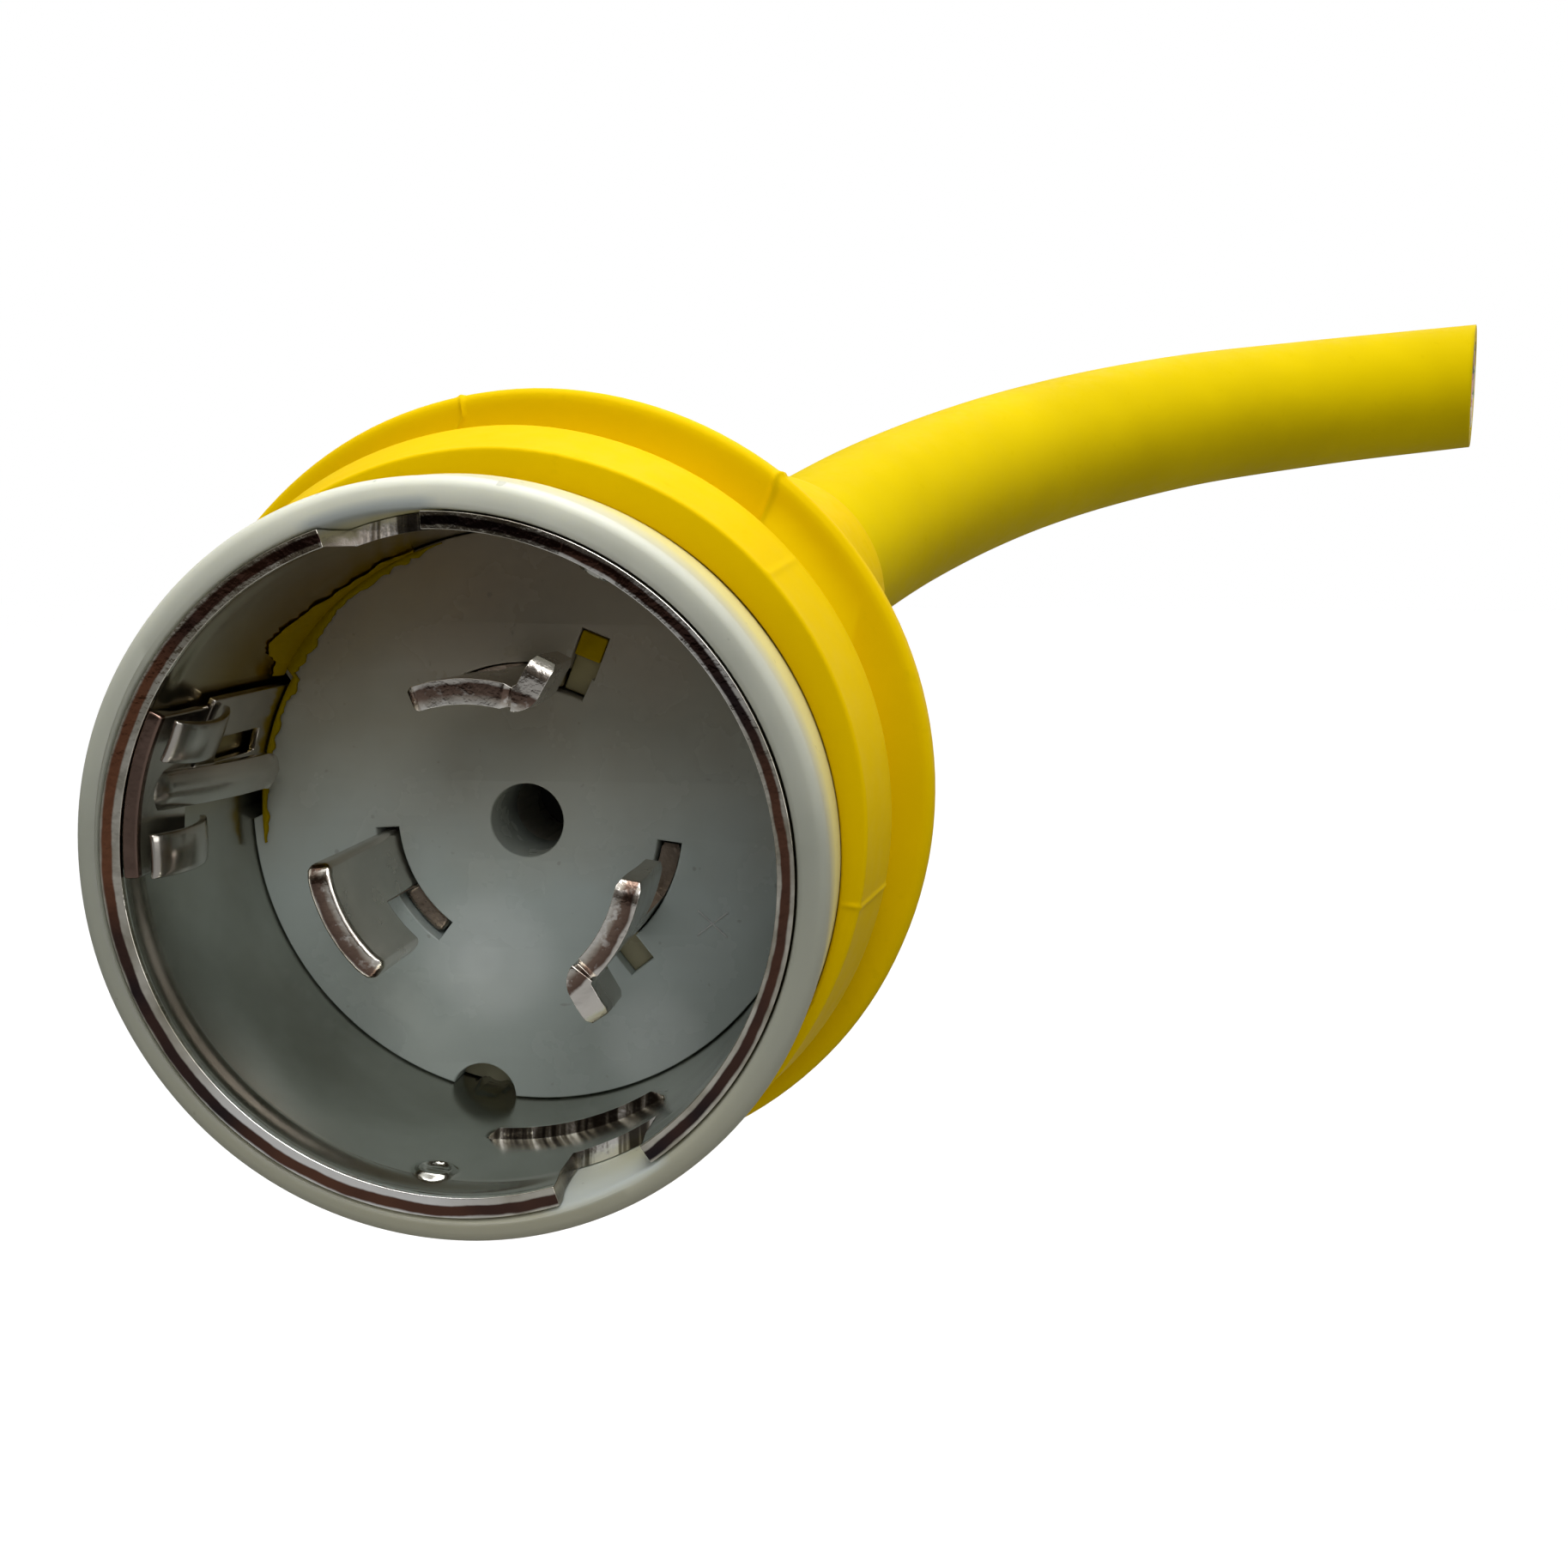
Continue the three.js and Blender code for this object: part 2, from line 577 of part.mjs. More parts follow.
add('barrel_sleeve', barrelSleeve(), NYLON);
add('ground_shell', groundShell(), NICKEL);
add('insulator_disc', insulatorDisc(), NYLON);
add('rear_insulator', rearInsulator(), NYLON);
add('blade_neutral', blade(SLOT_START.neutral, false), NICKEL);
add('blade_hot_a', blade(SLOT_START.hot_a, true), NICKEL);
add('blade_hot_b', blade(SLOT_START.hot_b, true), NICKEL);
add('ground_clip', groundClip(), NICKEL);
add('ground_tongue', groundTongue(), NICKEL);
add('ground_strap', groundStrap(), NICKEL);
add('inner_premould', innerPremould(), PREMOULD_GREY);
add('moulded_body', mouldedBody(), YELLOW);
add('moulding_flash', mouldingFlash(), YELLOW);
add('pocket_plug', pocketPlug(), YELLOW);

CONDUCTORS.forEach(({ name, material, terminal }, k) => {
  add(`crimp_${terminal}`, crimp(terminal), COPPER);
  add(`lead_${name}`, lead(k, CONDUCTOR_R, CONDUCTOR_BORE), material);
  const core = leadCurve(k, CRIMP.front + 1.2, LEAD_END - 0.2);
  add(`lead_core_${name}`, swept(core, COPPER_R, 0, LEAD_STEPS + 2, 8), COPPER);
});
add('cord_jacket_root', jacket(JACKET_START, LEAD_END), YELLOW);

for (let k = 1; k <= CORD_LENGTHS; k += 1) {
  const from = FIRST_BEND + BEND_STEP * (k - 1) + BEND_GAP / 2;
  const last = k === CORD_LENGTHS;
  const to = last ? LINE_LENGTH - 1 : FIRST_BEND + BEND_STEP * k - BEND_GAP / 2;
  if (last) {
    add(`cord_jacket_${k}`, cutOff(jacket(from, to)), YELLOW);
    CONDUCTORS.forEach(({ name, material }, c) => {
      const lay = layCurve(c, from, to);
      add(`end_${name}`, cutOff(swept(lay, CONDUCTOR_R, CONDUCTOR_BORE, 6, 12)), material);
      add(`end_core_${name}`, cutOff(swept(lay, COPPER_R, 0, 6, 10)), COPPER);
    });
    add('end_filler', cutOff(roundLength(FILLER_R, from, to, 8)), FILLER);
  } else {
    add(`cord_jacket_${k}`, jacket(from, to), YELLOW);
    add(`cord_bundle_${k}`, roundLength(JACKET_BORE - GAP, from, to, 20), FILLER);
  }
}

// Moves the assembly from the barrel's rim to its own origin, the middle of the bounding box's bottom.
const bounds = new THREE.Box3().setFromObject(plug);
const middle = bounds.getCenter(new THREE.Vector3());
for (const mesh of plug.children) mesh.geometry.translate(-middle.x, -middle.y, -bounds.min.z);

export default plug;
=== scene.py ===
"""The looks of the shore power cord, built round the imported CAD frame. Lengths below are in millimetres."""
import math

import bmesh
import bpy
from mathutils import Matrix, Vector, noise


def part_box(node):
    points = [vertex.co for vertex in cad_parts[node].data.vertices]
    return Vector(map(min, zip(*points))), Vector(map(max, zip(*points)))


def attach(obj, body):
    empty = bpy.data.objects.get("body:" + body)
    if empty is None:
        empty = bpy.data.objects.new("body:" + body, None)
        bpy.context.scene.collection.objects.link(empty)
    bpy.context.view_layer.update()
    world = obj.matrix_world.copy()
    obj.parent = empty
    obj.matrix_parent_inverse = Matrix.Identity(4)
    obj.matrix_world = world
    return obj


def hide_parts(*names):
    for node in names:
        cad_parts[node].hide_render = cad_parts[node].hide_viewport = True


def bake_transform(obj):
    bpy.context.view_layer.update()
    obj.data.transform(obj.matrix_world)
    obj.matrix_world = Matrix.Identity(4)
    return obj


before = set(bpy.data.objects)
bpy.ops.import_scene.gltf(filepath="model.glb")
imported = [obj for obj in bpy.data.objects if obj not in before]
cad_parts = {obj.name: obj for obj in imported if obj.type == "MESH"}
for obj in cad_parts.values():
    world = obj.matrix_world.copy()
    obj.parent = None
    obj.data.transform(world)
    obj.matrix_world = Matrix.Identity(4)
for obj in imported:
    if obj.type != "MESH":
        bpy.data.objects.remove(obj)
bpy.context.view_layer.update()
MM = 0.001

# Every piece is drawn with the centre of the barrel's front rim at zero; ORIGIN is where that point sits in the frame.
sleeve_low, sleeve_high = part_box("barrel_sleeve")
ORIGIN = Vector(((sleeve_low.x + sleeve_high.x) / 2, sleeve_low.y, (sleeve_low.z + sleeve_high.z) / 2))

# ---- Sizes shared with the CAD (mm) ----
BARREL_R = 28.5
BARREL_INNER = 26.06
SHELL_OUT = 26.2
SHELL_IN = 24.9
SHELL_FRONT = 0.2
RIM_LEAN_AT = 222.0
NOTCHES = (100.7, 296.7)
NOTCH_HALF = 8.6
NOTCH_BACK = 6.5
RIM_ROLL_START = 0.9
RIM_ROLL_END = 3.0
DISC_FRONT = 22.0
DISC_BACK = 30.0
BLADE_MID = 12.6
BLADE_THICK = 1.7
BLADE_TIP_THICK = 2.0
BLADE_TIP = 6.5
CORD_R = 13.5
SLOT_STARTS = {"neutral": 184.0, "hot_a": 64.0, "hot_b": 304.0}
LINE = [
    (0, 0, 0), (-0.2, 12, 0.3), (-0.1, 26, 1.4), (0.5, 60, 4.6), (1.4, 100, 8.2), (4.2, 143, 15.6),
    (19.4, 182, 27.2), (42.7, 221, 37.9), (71, 252, 45.8), (104, 278.5, 51.4), (142, 297, 56.2), (166, 307.5, 59.2),
]
SQUARE_TO = 32.0
FIRST_BEND = 150.0
CUT_AT = 362.6
CORD_LENGTHS = 4
BEND_STEP = (CUT_AT - FIRST_BEND) / CORD_LENGTHS
CUT_TURN = 14.8
CONDUCTOR_R = 3.65
LAY_R = 5.6
LAY_START = 80.0


def smooth(x, low, high):
    t = min(1.0, max(0.0, (x - low) / (high - low)))
    return t * t * (3 - 2 * t)


def rim_lean(a):
    """1 where the liner's rolled rim leans out most, at the lower left, and -1 opposite."""
    return math.cos(math.radians(a - RIM_LEAN_AT))


def rim_out(a, y):
    """How far the rim's outer and inner edges stand out from the liner's round, in mm."""
    fade = 1 - smooth(y, RIM_ROLL_START, RIM_ROLL_END)
    return (0.32 + 0.58 * rim_lean(a)) * fade, (0.15 + 0.35 * rim_lean(a)) * fade


# ---- The cord's centre line: the CAD's centripetal Catmull-Rom curve, walked by distance ----
def spline_points(points, parts=120):
    """Points along a centripetal Catmull-Rom curve, close enough together to measure distance on."""
    pts = [Vector(p) for p in points]
    pts = [pts[0] * 2 - pts[1]] + pts + [pts[-1] * 2 - pts[-2]]
    out = []
    for k in range(1, len(pts) - 2):
        p0, p1, p2, p3 = pts[k - 1:k + 3]
        d0, d1, d2 = [max((b - a).length, 1e-6) ** 0.5 for a, b in ((p0, p1), (p1, p2), (p2, p3))]
        m1 = ((p1 - p0) / d0 - (p2 - p0) / (d0 + d1) + (p2 - p1) / d1) * d1
        m2 = ((p2 - p1) / d1 - (p3 - p1) / (d1 + d2) + (p3 - p2) / d2) * d1
        for i in range(parts):
            t = i / parts
            out.append(p1 + m1 * t + (p2 * 3 - p1 * 3 - m1 * 2 - m2) * t ** 2 + (p1 * 2 - p2 * 2 + m1 + m2) * t ** 3)
    out.append(pts[-2].copy())
    return out


WALK = spline_points(LINE)
WALK_AT = [0.0]
for before, after in zip(WALK, WALK[1:]):
    WALK_AT.append(WALK_AT[-1] + (after - before).length)


def walk(s):
    """Point and direction at a distance s along the centre line."""
    s = min(max(s, 0.0), WALK_AT[-1] - 1e-6)
    low, high = 0, len(WALK_AT) - 1
    while high - low > 1:
        mid = (low + high) // 2
        low, high = (mid, high) if WALK_AT[mid] <= s else (low, mid)
    t = (s - WALK_AT[low]) / (WALK_AT[high] - WALK_AT[low])
    ahead, behind = WALK[min(high + 2, len(WALK) - 1)], WALK[max(low - 2, 0)]
    return WALK[low].lerp(WALK[high], t), (ahead - behind).normalized()


def station(s):
    """Point, direction, up and side at a distance s. Sections near the front stay square to the barrel."""
    point, tangent = walk(s)
    along = Vector((0, 1, 0)).lerp(tangent, smooth(s, SQUARE_TO, SQUARE_TO + 30)).normalized()
    up = (Vector((0, 0, 1)) - along * along.z).normalized()
    return point, along, up, along.cross(up)


def polar(r, degrees, y=0.0):
    a = math.radians(degrees)
    return Vector((r * math.cos(a), y, r * math.sin(a)))


# ---- Mesh building ----
def piece(name, verts, faces, material, body, node_names=(), bevel=0.0, limit=35, segments=3, sharp=40):
    """A mesh in metres from millimetre points, shaded smooth, riding on a body."""
    mesh = bpy.data.meshes.new(name)
    mesh.from_pydata([tuple(Vector(v) * MM) for v in verts], [], faces)
    bm = bmesh.new()
    bm.from_mesh(mesh)
    bmesh.ops.remove_doubles(bm, verts=bm.verts, dist=1e-6)
    bmesh.ops.recalc_face_normals(bm, faces=bm.faces)
    bm.to_mesh(mesh)
    bm.free()
    mesh.materials.append(material)
    mesh.shade_smooth()
    obj = bpy.data.objects.new(name, mesh)
    obj.location = ORIGIN
    bpy.context.scene.collection.objects.link(obj)
    if bevel:
        mod = obj.modifiers.new("bevel", "BEVEL")
        mod.width = bevel * MM
        mod.segments = segments
        mod.limit_method = "ANGLE"
        mod.angle_limit = math.radians(limit)
        weighted = obj.modifiers.new("normals", "WEIGHTED_NORMAL")
        weighted.keep_sharp = True
    elif sharp:
        mesh.set_sharp_from_angle(angle=math.radians(sharp))
    if body:
        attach(obj, body)
    if node_names:
        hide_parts(*node_names)
    return obj


def grid_faces(rows, columns, closed_rows=False, closed_columns=True):
    """Quads over a grid of points numbered row by row."""
    faces = []
    for i in range(rows if closed_rows else rows - 1):
        for j in range(columns if closed_columns else columns - 1):
            a, b = i * columns + j, i * columns + (j + 1) % columns
            c, d = ((i + 1) % rows) * columns + (j + 1) % columns, ((i + 1) % rows) * columns + j
            faces.append((a, b, c, d))
    return faces


def thick_sheet(middle, normal, thick, present=None, closed=False):
    """Vertices and faces of a sheet with thickness. middle and normal are grids [i][j]; present says which cells exist;
    closed joins the last row of the grid to the first."""
    rows, columns = len(middle), len(middle[0])
    cells_i, cells_j = rows if closed else rows - 1, columns - 1
    there = [[present is None or present(i, j) for j in range(cells_j)] for i in range(cells_i)]
    verts, index = [], {}

    def vert(i, j, side):
        key = (i % rows, j, side)
        if key not in index:
            t = thick(i % rows, j) if callable(thick) else thick
            index[key] = len(verts)
            verts.append(middle[i % rows][j] + normal[i % rows][j] * (t / 2 * side))
        return index[key]

    def cell(i, j):
        if closed:
            i %= rows
        return 0 <= i < cells_i and 0 <= j < cells_j and there[i][j]

    faces = []
    for i in range(cells_i):
        for j in range(cells_j):
            if not there[i][j]:
                continue
            a, b, c, d = (i, j), (i + 1, j), (i + 1, j + 1), (i, j + 1)
            faces.append(tuple(vert(*p, 1) for p in (a, b, c, d)))
            faces.append(tuple(vert(*p, -1) for p in (d, c, b, a)))
            for p, q, neighbour in ((b, a, (i, j - 1)), (c, b, (i + 1, j)), (d, c, (i, j + 1)), (a, d, (i - 1, j))):
                if not cell(*neighbour):
                    faces.append((vert(*p, 1), vert(*q, 1), vert(*q, -1), vert(*p, -1)))
    return verts, faces


def spaced(low, high, step):
    count = max(1, math.ceil((high - low) / step - 1e-9))
    return [low + (high - low) * k / count for k in range(count + 1)]


def merged(*lists):
    """Sorted numbers from several lists, dropping near repeats."""
    out = []
    for x in sorted(v for part in lists for v in part):
        if not out or x - out[-1] > 1e-3:
            out.append(x)
    return out


# ---- Materials ----
def node_material(name):
    material = bpy.data.materials.new(name)
    material.use_nodes = True
    tree = material.node_tree
    shader = tree.nodes["Principled BSDF"]
    return material, tree, shader


def add_node(tree, kind, **values):
    """A node with inputs set by name (or by number for names like in0)."""
    node = tree.nodes.new(kind)
    for key, value in values.items():
        if key.startswith("in_"):
            node.inputs[int(key[3:])].default_value = value
        elif hasattr(node, key):
            setattr(node, key, value)
        else:
            node.inputs[key].default_value = value
    return node


def noise_value(tree, scale, detail=4.0, rough=0.55, stretch=None):
    """Noise in object space, with scale in features per metre."""
    place = add_node(tree, "ShaderNodeTexCoord")
    source = place.outputs["Object"]
    if stretch:
        mapping = add_node(tree, "ShaderNodeMapping")
        mapping.inputs["Scale"].default_value = stretch
        tree.links.new(source, mapping.inputs["Vector"])
        source = mapping.outputs["Vector"]
    node = add_node(tree, "ShaderNodeTexNoise", Scale=scale, Detail=detail, Roughness=rough)
    tree.links.new(source, node.inputs["Vector"])
    return node.outputs["Fac"]


def ramp(tree, value, stops):
    node = add_node(tree, "ShaderNodeValToRGB")
    elements = node.color_ramp.elements
    while len(elements) < len(stops):
        elements.new(0.5)
    for element, (at, colour) in zip(elements, stops):
        element.position = at
        element.color = (*colour, 1.0) if len(colour) == 3 else colour
    tree.links.new(value, node.inputs["Fac"])
    return node.outputs["Color"]


def mix_colour(tree, factor, a, b, blend="MIX"):
    node = add_node(tree, "ShaderNodeMix", data_type="RGBA", blend_type=blend)
    for socket, value in ((node.inputs[0], factor), (node.inputs[6], a), (node.inputs[7], b)):
        if isinstance(value, bpy.types.NodeSocket):
            tree.links.new(value, socket)
        elif isinstance(value, (int, float)):
            socket.default_value = value
        else:
            socket.default_value = (*value, 1.0)
    return node.outputs[2]


def maths(tree, operation, a, b=0.5, c=None):
    node = add_node(tree, "ShaderNodeMath", operation=operation)
    for socket, value in zip(node.inputs, (a, b, c)):
        if isinstance(value, bpy.types.NodeSocket):
            tree.links.new(value, socket)
        elif value is not None:
            socket.default_value = value
    return node.outputs[0]


def map_range(tree, value, low, high, to_low, to_high):
    node = add_node(tree, "ShaderNodeMapRange")
    for socket, number in zip(node.inputs[1:5], (low, high, to_low, to_high)):
        socket.default_value = number
    tree.links.new(value, node.inputs[0])
    return node.outputs[0]


def bump(tree, shader, *layers):
    """Stacks bump layers of (height, strength, distance in mm)."""
    previous = None
    for height, strength, distance in layers:
        node = add_node(tree, "ShaderNodeBump", Strength=strength, Distance=distance * MM)
        tree.links.new(height, node.inputs["Height"])
        if previous:
            tree.links.new(previous, node.inputs["Normal"])
        previous = node.outputs["Normal"]
    tree.links.new(previous, shader.inputs["Normal"])


def object_axis(tree, axis):
    place = add_node(tree, "ShaderNodeTexCoord")
    split = add_node(tree, "ShaderNodeSeparateXYZ")
    tree.links.new(place.outputs["Object"], split.inputs[0])
    return split.outputs[axis]


def object_radius(tree):
    """Distance from the plug's axis, in metres."""
    x, z = object_axis(tree, 0), object_axis(tree, 2)
    return maths(tree, "SQRT", maths(tree, "ADD", maths(tree, "MULTIPLY", x, x), maths(tree, "MULTIPLY", z, z)))


def turn_cosine(tree, degrees):
    """Cosine of the turn between a place's angle round the plug and the given one."""
    x, z = object_axis(tree, 0), object_axis(tree, 2)
    c, s = math.cos(math.radians(degrees)), math.sin(math.radians(degrees))
    dot = maths(tree, "ADD", maths(tree, "MULTIPLY", x, c), maths(tree, "MULTIPLY", z, s))
    return maths(tree, "DIVIDE", dot, object_radius(tree))


def near_angle(tree, degrees, wide, fade):
    """1 round one angle of the plug, falling to 0 outside it (half widths in degrees)."""
    return map_range(tree, turn_cosine(tree, degrees), math.cos(math.radians(wide + fade)), math.cos(math.radians(wide)), 0, 1)


def near_point(tree, x, z, radius, amount):
    """A soft round spot on a face that looks along the plug's axis. x, z and radius are in mm."""
    dx = maths(tree, "SUBTRACT", object_axis(tree, 0), x * MM)
    dz = maths(tree, "SUBTRACT", object_axis(tree, 2), z * MM)
    square = maths(tree, "ADD", maths(tree, "MULTIPLY", dx, dx), maths(tree, "MULTIPLY", dz, dz))
    node = add_node(tree, "ShaderNodeMapRange", interpolation_type="SMOOTHERSTEP")
    for socket, number in zip(node.inputs[1:5], (0.0, (radius * MM) ** 2, amount, 0.0)):
        socket.default_value = number
    tree.links.new(square, node.inputs[0])
    return node.outputs[0]


def yellow_vinyl(name, base=(0.715, 0.475, 0.0), grain=0.35):
    material, tree, shader = node_material(name)
    large = noise_value(tree, 26, 3)
    small = noise_value(tree, 420, 3)
    darker = tuple(c * 0.93 for c in base)
    lighter = (min(1.0, base[0] * 1.05), base[1] * 1.06, 0.0)
    colour = mix_colour(tree, map_range(tree, large, 0.35, 0.68, 0, 1), darker, lighter)
    colour = mix_colour(tree, map_range(tree, small, 0.66, 0.78, 0, 0.22), colour, (0.45, 0.30, 0.0))
    tree.links.new(colour, shader.inputs["Base Color"])
    tree.links.new(map_range(tree, small, 0.3, 0.7, 0.46, 0.6), shader.inputs["Roughness"])
    shader.inputs["Specular IOR Level"].default_value = 0.03
    shader.inputs["Specular Tint"].default_value = (1.0, 0.75, 0.1, 1.0)
    bump(tree, shader, (noise_value(tree, 1500, 2), grain * 0.5, 0.05), (noise_value(tree, 240, 3), grain, 0.12))
    return material


def nylon(name, painted_light_by_height, rough=(0.24, 0.42), subsurface=0.3, painted_barrel_light=False, painted_dark_bore=False, painted_highlights=()):
    """Translucent nylon, with painted light and shade in its colour from the bottom of the plug to its top."""
    material, tree, shader = node_material(name)
    cloud = noise_value(tree, 70, 4)
    # Painted light and shade: the colour runs through the given colours from the bottom of the plug to its top.
    height = map_range(tree, object_axis(tree, 2), -0.028, 0.028, 0, 1)
    height = maths(tree, "ADD", height, map_range(tree, cloud, 0.3, 0.7, -0.06, 0.06))
    colour = ramp(tree, height, painted_light_by_height)
    if painted_barrel_light:
        # Painted shade on the barrel behind its front lip.
        painted_shade_past_lip = map_range(tree, object_axis(tree, 1), 0.0001, 0.0012, 0.0, 0.42)
        colour = mix_colour(tree, painted_shade_past_lip, colour, (0.20, 0.19, 0.13))
        # Painted light on the inner wall where it shows through the two notches.
        bore_wall = map_range(tree, object_radius(tree), 0.0274, 0.0268, 0, 0.9)
        for at in NOTCHES:
            place = maths(tree, "MULTIPLY", near_angle(tree, at, 9, 3), bore_wall)
            colour = mix_colour(tree, place, colour, (0.46, 0.50, 0.48))
        # Painted yellow light from the collar coming through the nylon, behind the lip on the right and the top.
        back = map_range(tree, object_axis(tree, 1), 0.0003, 0.0045, 0.0, 0.9)
        side = near_angle(tree, 30, 62, 45)
        colour = mix_colour(tree, maths(tree, "MULTIPLY", back, side), colour, (0.64, 0.56, 0.20))
    # Painted highlights: soft pale spots on the disc's face.
    for x, z, radius, amount in painted_highlights:
        colour = mix_colour(tree, near_point(tree, x, z, radius, amount), colour, (0.66, 0.71, 0.70))
    # Painted shadow: near black round the hole in the middle.
    if painted_dark_bore:
        colour = mix_colour(tree, map_range(tree, object_radius(tree), 0.0040, 0.0046, 1, 0), colour, (0.008, 0.008, 0.006))
    specks = noise_value(tree, 900, 1)
    colour = mix_colour(tree, map_range(tree, specks, 0.75, 0.79, 0, 0.35), colour, (0.16, 0.15, 0.12))
    tree.links.new(colour, shader.inputs["Base Color"])
    tree.links.new(map_range(tree, noise_value(tree, 150, 4), 0.3, 0.7, *rough), shader.inputs["Roughness"])
    shader.inputs["Subsurface Weight"].default_value = subsurface
    shader.inputs["Subsurface Radius"].default_value = (1.0, 0.95, 0.75)
    shader.inputs["Subsurface Scale"].default_value = 1.6 * MM
    shader.inputs["Specular IOR Level"].default_value = 0.45
    bump(tree, shader, (noise_value(tree, 700, 3), 0.10, 0.04), (noise_value(tree, 90, 3), 0.35, 0.2))
    return material


def nickel(name, rough=(0.14, 0.30), tint=(0.66, 0.62, 0.56), hammered=0.15, scale=260, dark=0.0):
    material, tree, shader = node_material(name)
    shader.inputs["Metallic"].default_value = 1.0
    patches = noise_value(tree, 70, 4)
    shade = tuple(c * (0.72 - dark) for c in tint)
    colour = mix_colour(tree, map_range(tree, patches, 0.35, 0.65, 0, 1), shade, tint)
    tree.links.new(colour, shader.inputs["Base Color"])
    tree.links.new(map_range(tree, noise_value(tree, 300, 4), 0.3, 0.7, *rough), shader.inputs["Roughness"])
    bump(tree, shader, (noise_value(tree, scale, 3), hammered, 0.12), (noise_value(tree, 2400, 2), hammered, 0.02))
    return material


def sheared(name):
    """The torn streaks that a punch leaves on a cut edge of plated strip; they run through the strip's thickness. Their
    colour goes from near black to near white, so they also carry painted glints.
    """
    material, tree, shader = node_material(name)
    shader.inputs["Metallic"].default_value = 1.0
    streaks = noise_value(tree, 1000, 2, 0.5, stretch=(1.0, 0.08, 0.08))
    # Streaks painted from near black to near white: real streaking with painted glints.
    colour = ramp(tree, streaks, [(0.44, (0.06, 0.05, 0.04)), (0.52, (0.30, 0.27, 0.22)), (0.58, (0.98, 0.95, 0.90))])
    tree.links.new(colour, shader.inputs["Base Color"])
    shader.inputs["Roughness"].default_value = 0.22
    bump(tree, shader, (streaks, 0.8, 0.15), (noise_value(tree, 500, 3), 0.5, 0.2))
    return material


def liner_metal(name):
    """Polished plate, with a painted dark brown reflection across the middle of the rim, painted highlights along the
    rim's edges, and a painted yellow reflection of the flash on the wall beside it.
    """
    material, tree, shader = node_material(name)
    shader.inputs["Metallic"].default_value = 1.0
    patches = map_range(tree, noise_value(tree, 55, 4), 0.35, 0.65, 0, 1)
    colour = mix_colour(tree, patches, (0.40, 0.39, 0.34), (0.55, 0.55, 0.50))
    # Painted yellow reflection of the flash on the upper left wall, stronger further in.
    deep = map_range(tree, object_axis(tree, 1), 0.003, 0.012, 0.3, 1)
    colour = mix_colour(tree, maths(tree, "MULTIPLY", near_angle(tree, 136, 22, 20), deep), colour, (0.36, 0.25, 0.02))
    lean = turn_cosine(tree, RIM_LEAN_AT)
    inner = maths(tree, "ADD", maths(tree, "MULTIPLY", lean, 0.35 * MM), (SHELL_IN + 0.15) * MM)
    thick = maths(tree, "ADD", maths(tree, "MULTIPLY", lean, 0.23 * MM), (SHELL_OUT - SHELL_IN + 0.17) * MM)
    wander = map_range(tree, noise_value(tree, 260, 4), 0.3, 0.7, -0.00009, 0.00009)
    across = maths(tree, "SUBTRACT", maths(tree, "ADD", object_radius(tree), wander), inner)
    across = maths(tree, "SUBTRACT", maths(tree, "DIVIDE", across, thick), maths(tree, "MULTIPLY", lean, 0.10))
    # Painted dark brown reflection across the middle of the rim, browner on the left.
    dark = ramp(tree, noise_value(tree, 60, 3), [(0.36, (0.030, 0.024, 0.026)), (0.66, (0.15, 0.070, 0.045))])
    dark = mix_colour(tree, near_angle(tree, 165, 16, 12), dark, (0.26, 0.11, 0.06))
    # Painted highlights along the rim's edges, near white low on the left and at the upper right.
    painted_rim_highlight = ramp(tree, noise_value(tree, 300, 3), [(0.35, (0.42, 0.39, 0.31)), (0.60, (0.72, 0.69, 0.60))])
    painted_rim_highlight = mix_colour(tree, near_angle(tree, 248, 18, 14), painted_rim_highlight, (1.0, 0.99, 0.96))
    painted_rim_highlight = mix_colour(tree, near_angle(tree, 50, 14, 12), painted_rim_highlight, (0.95, 0.93, 0.88))
    # The dark brown painted reflection fills the middle of the rim and the painted highlights its two edges.
    painted_rim_reflections = ramp(tree, across, [(0.26, (0, 0, 0)), (0.34, (1, 1, 1)), (0.78, (1, 1, 1)), (0.88, (0, 0, 0))])
    painted_rim_reflections = mix_colour(tree, painted_rim_reflections, painted_rim_highlight, dark)
    rim = map_range(tree, object_axis(tree, 1), (SHELL_FRONT + 0.42) * MM, (SHELL_FRONT + 0.60) * MM, 1, 0)
    tree.links.new(mix_colour(tree, rim, colour, painted_rim_reflections), shader.inputs["Base Color"])
    rough = map_range(tree, noise_value(tree, 120, 4), 0.3, 0.7, 0.12, 0.25)
    tree.links.new(maths(tree, "MULTIPLY", rough, map_range(tree, rim, 0, 1, 1.0, 0.7)), shader.inputs["Roughness"])
    dents = maths(tree, "MULTIPLY", noise_value(tree, 900, 3), rim)
    bump(tree, shader, (noise_value(tree, 180, 3), 0.10, 0.12), (dents, 0.5, 0.10))
    return material


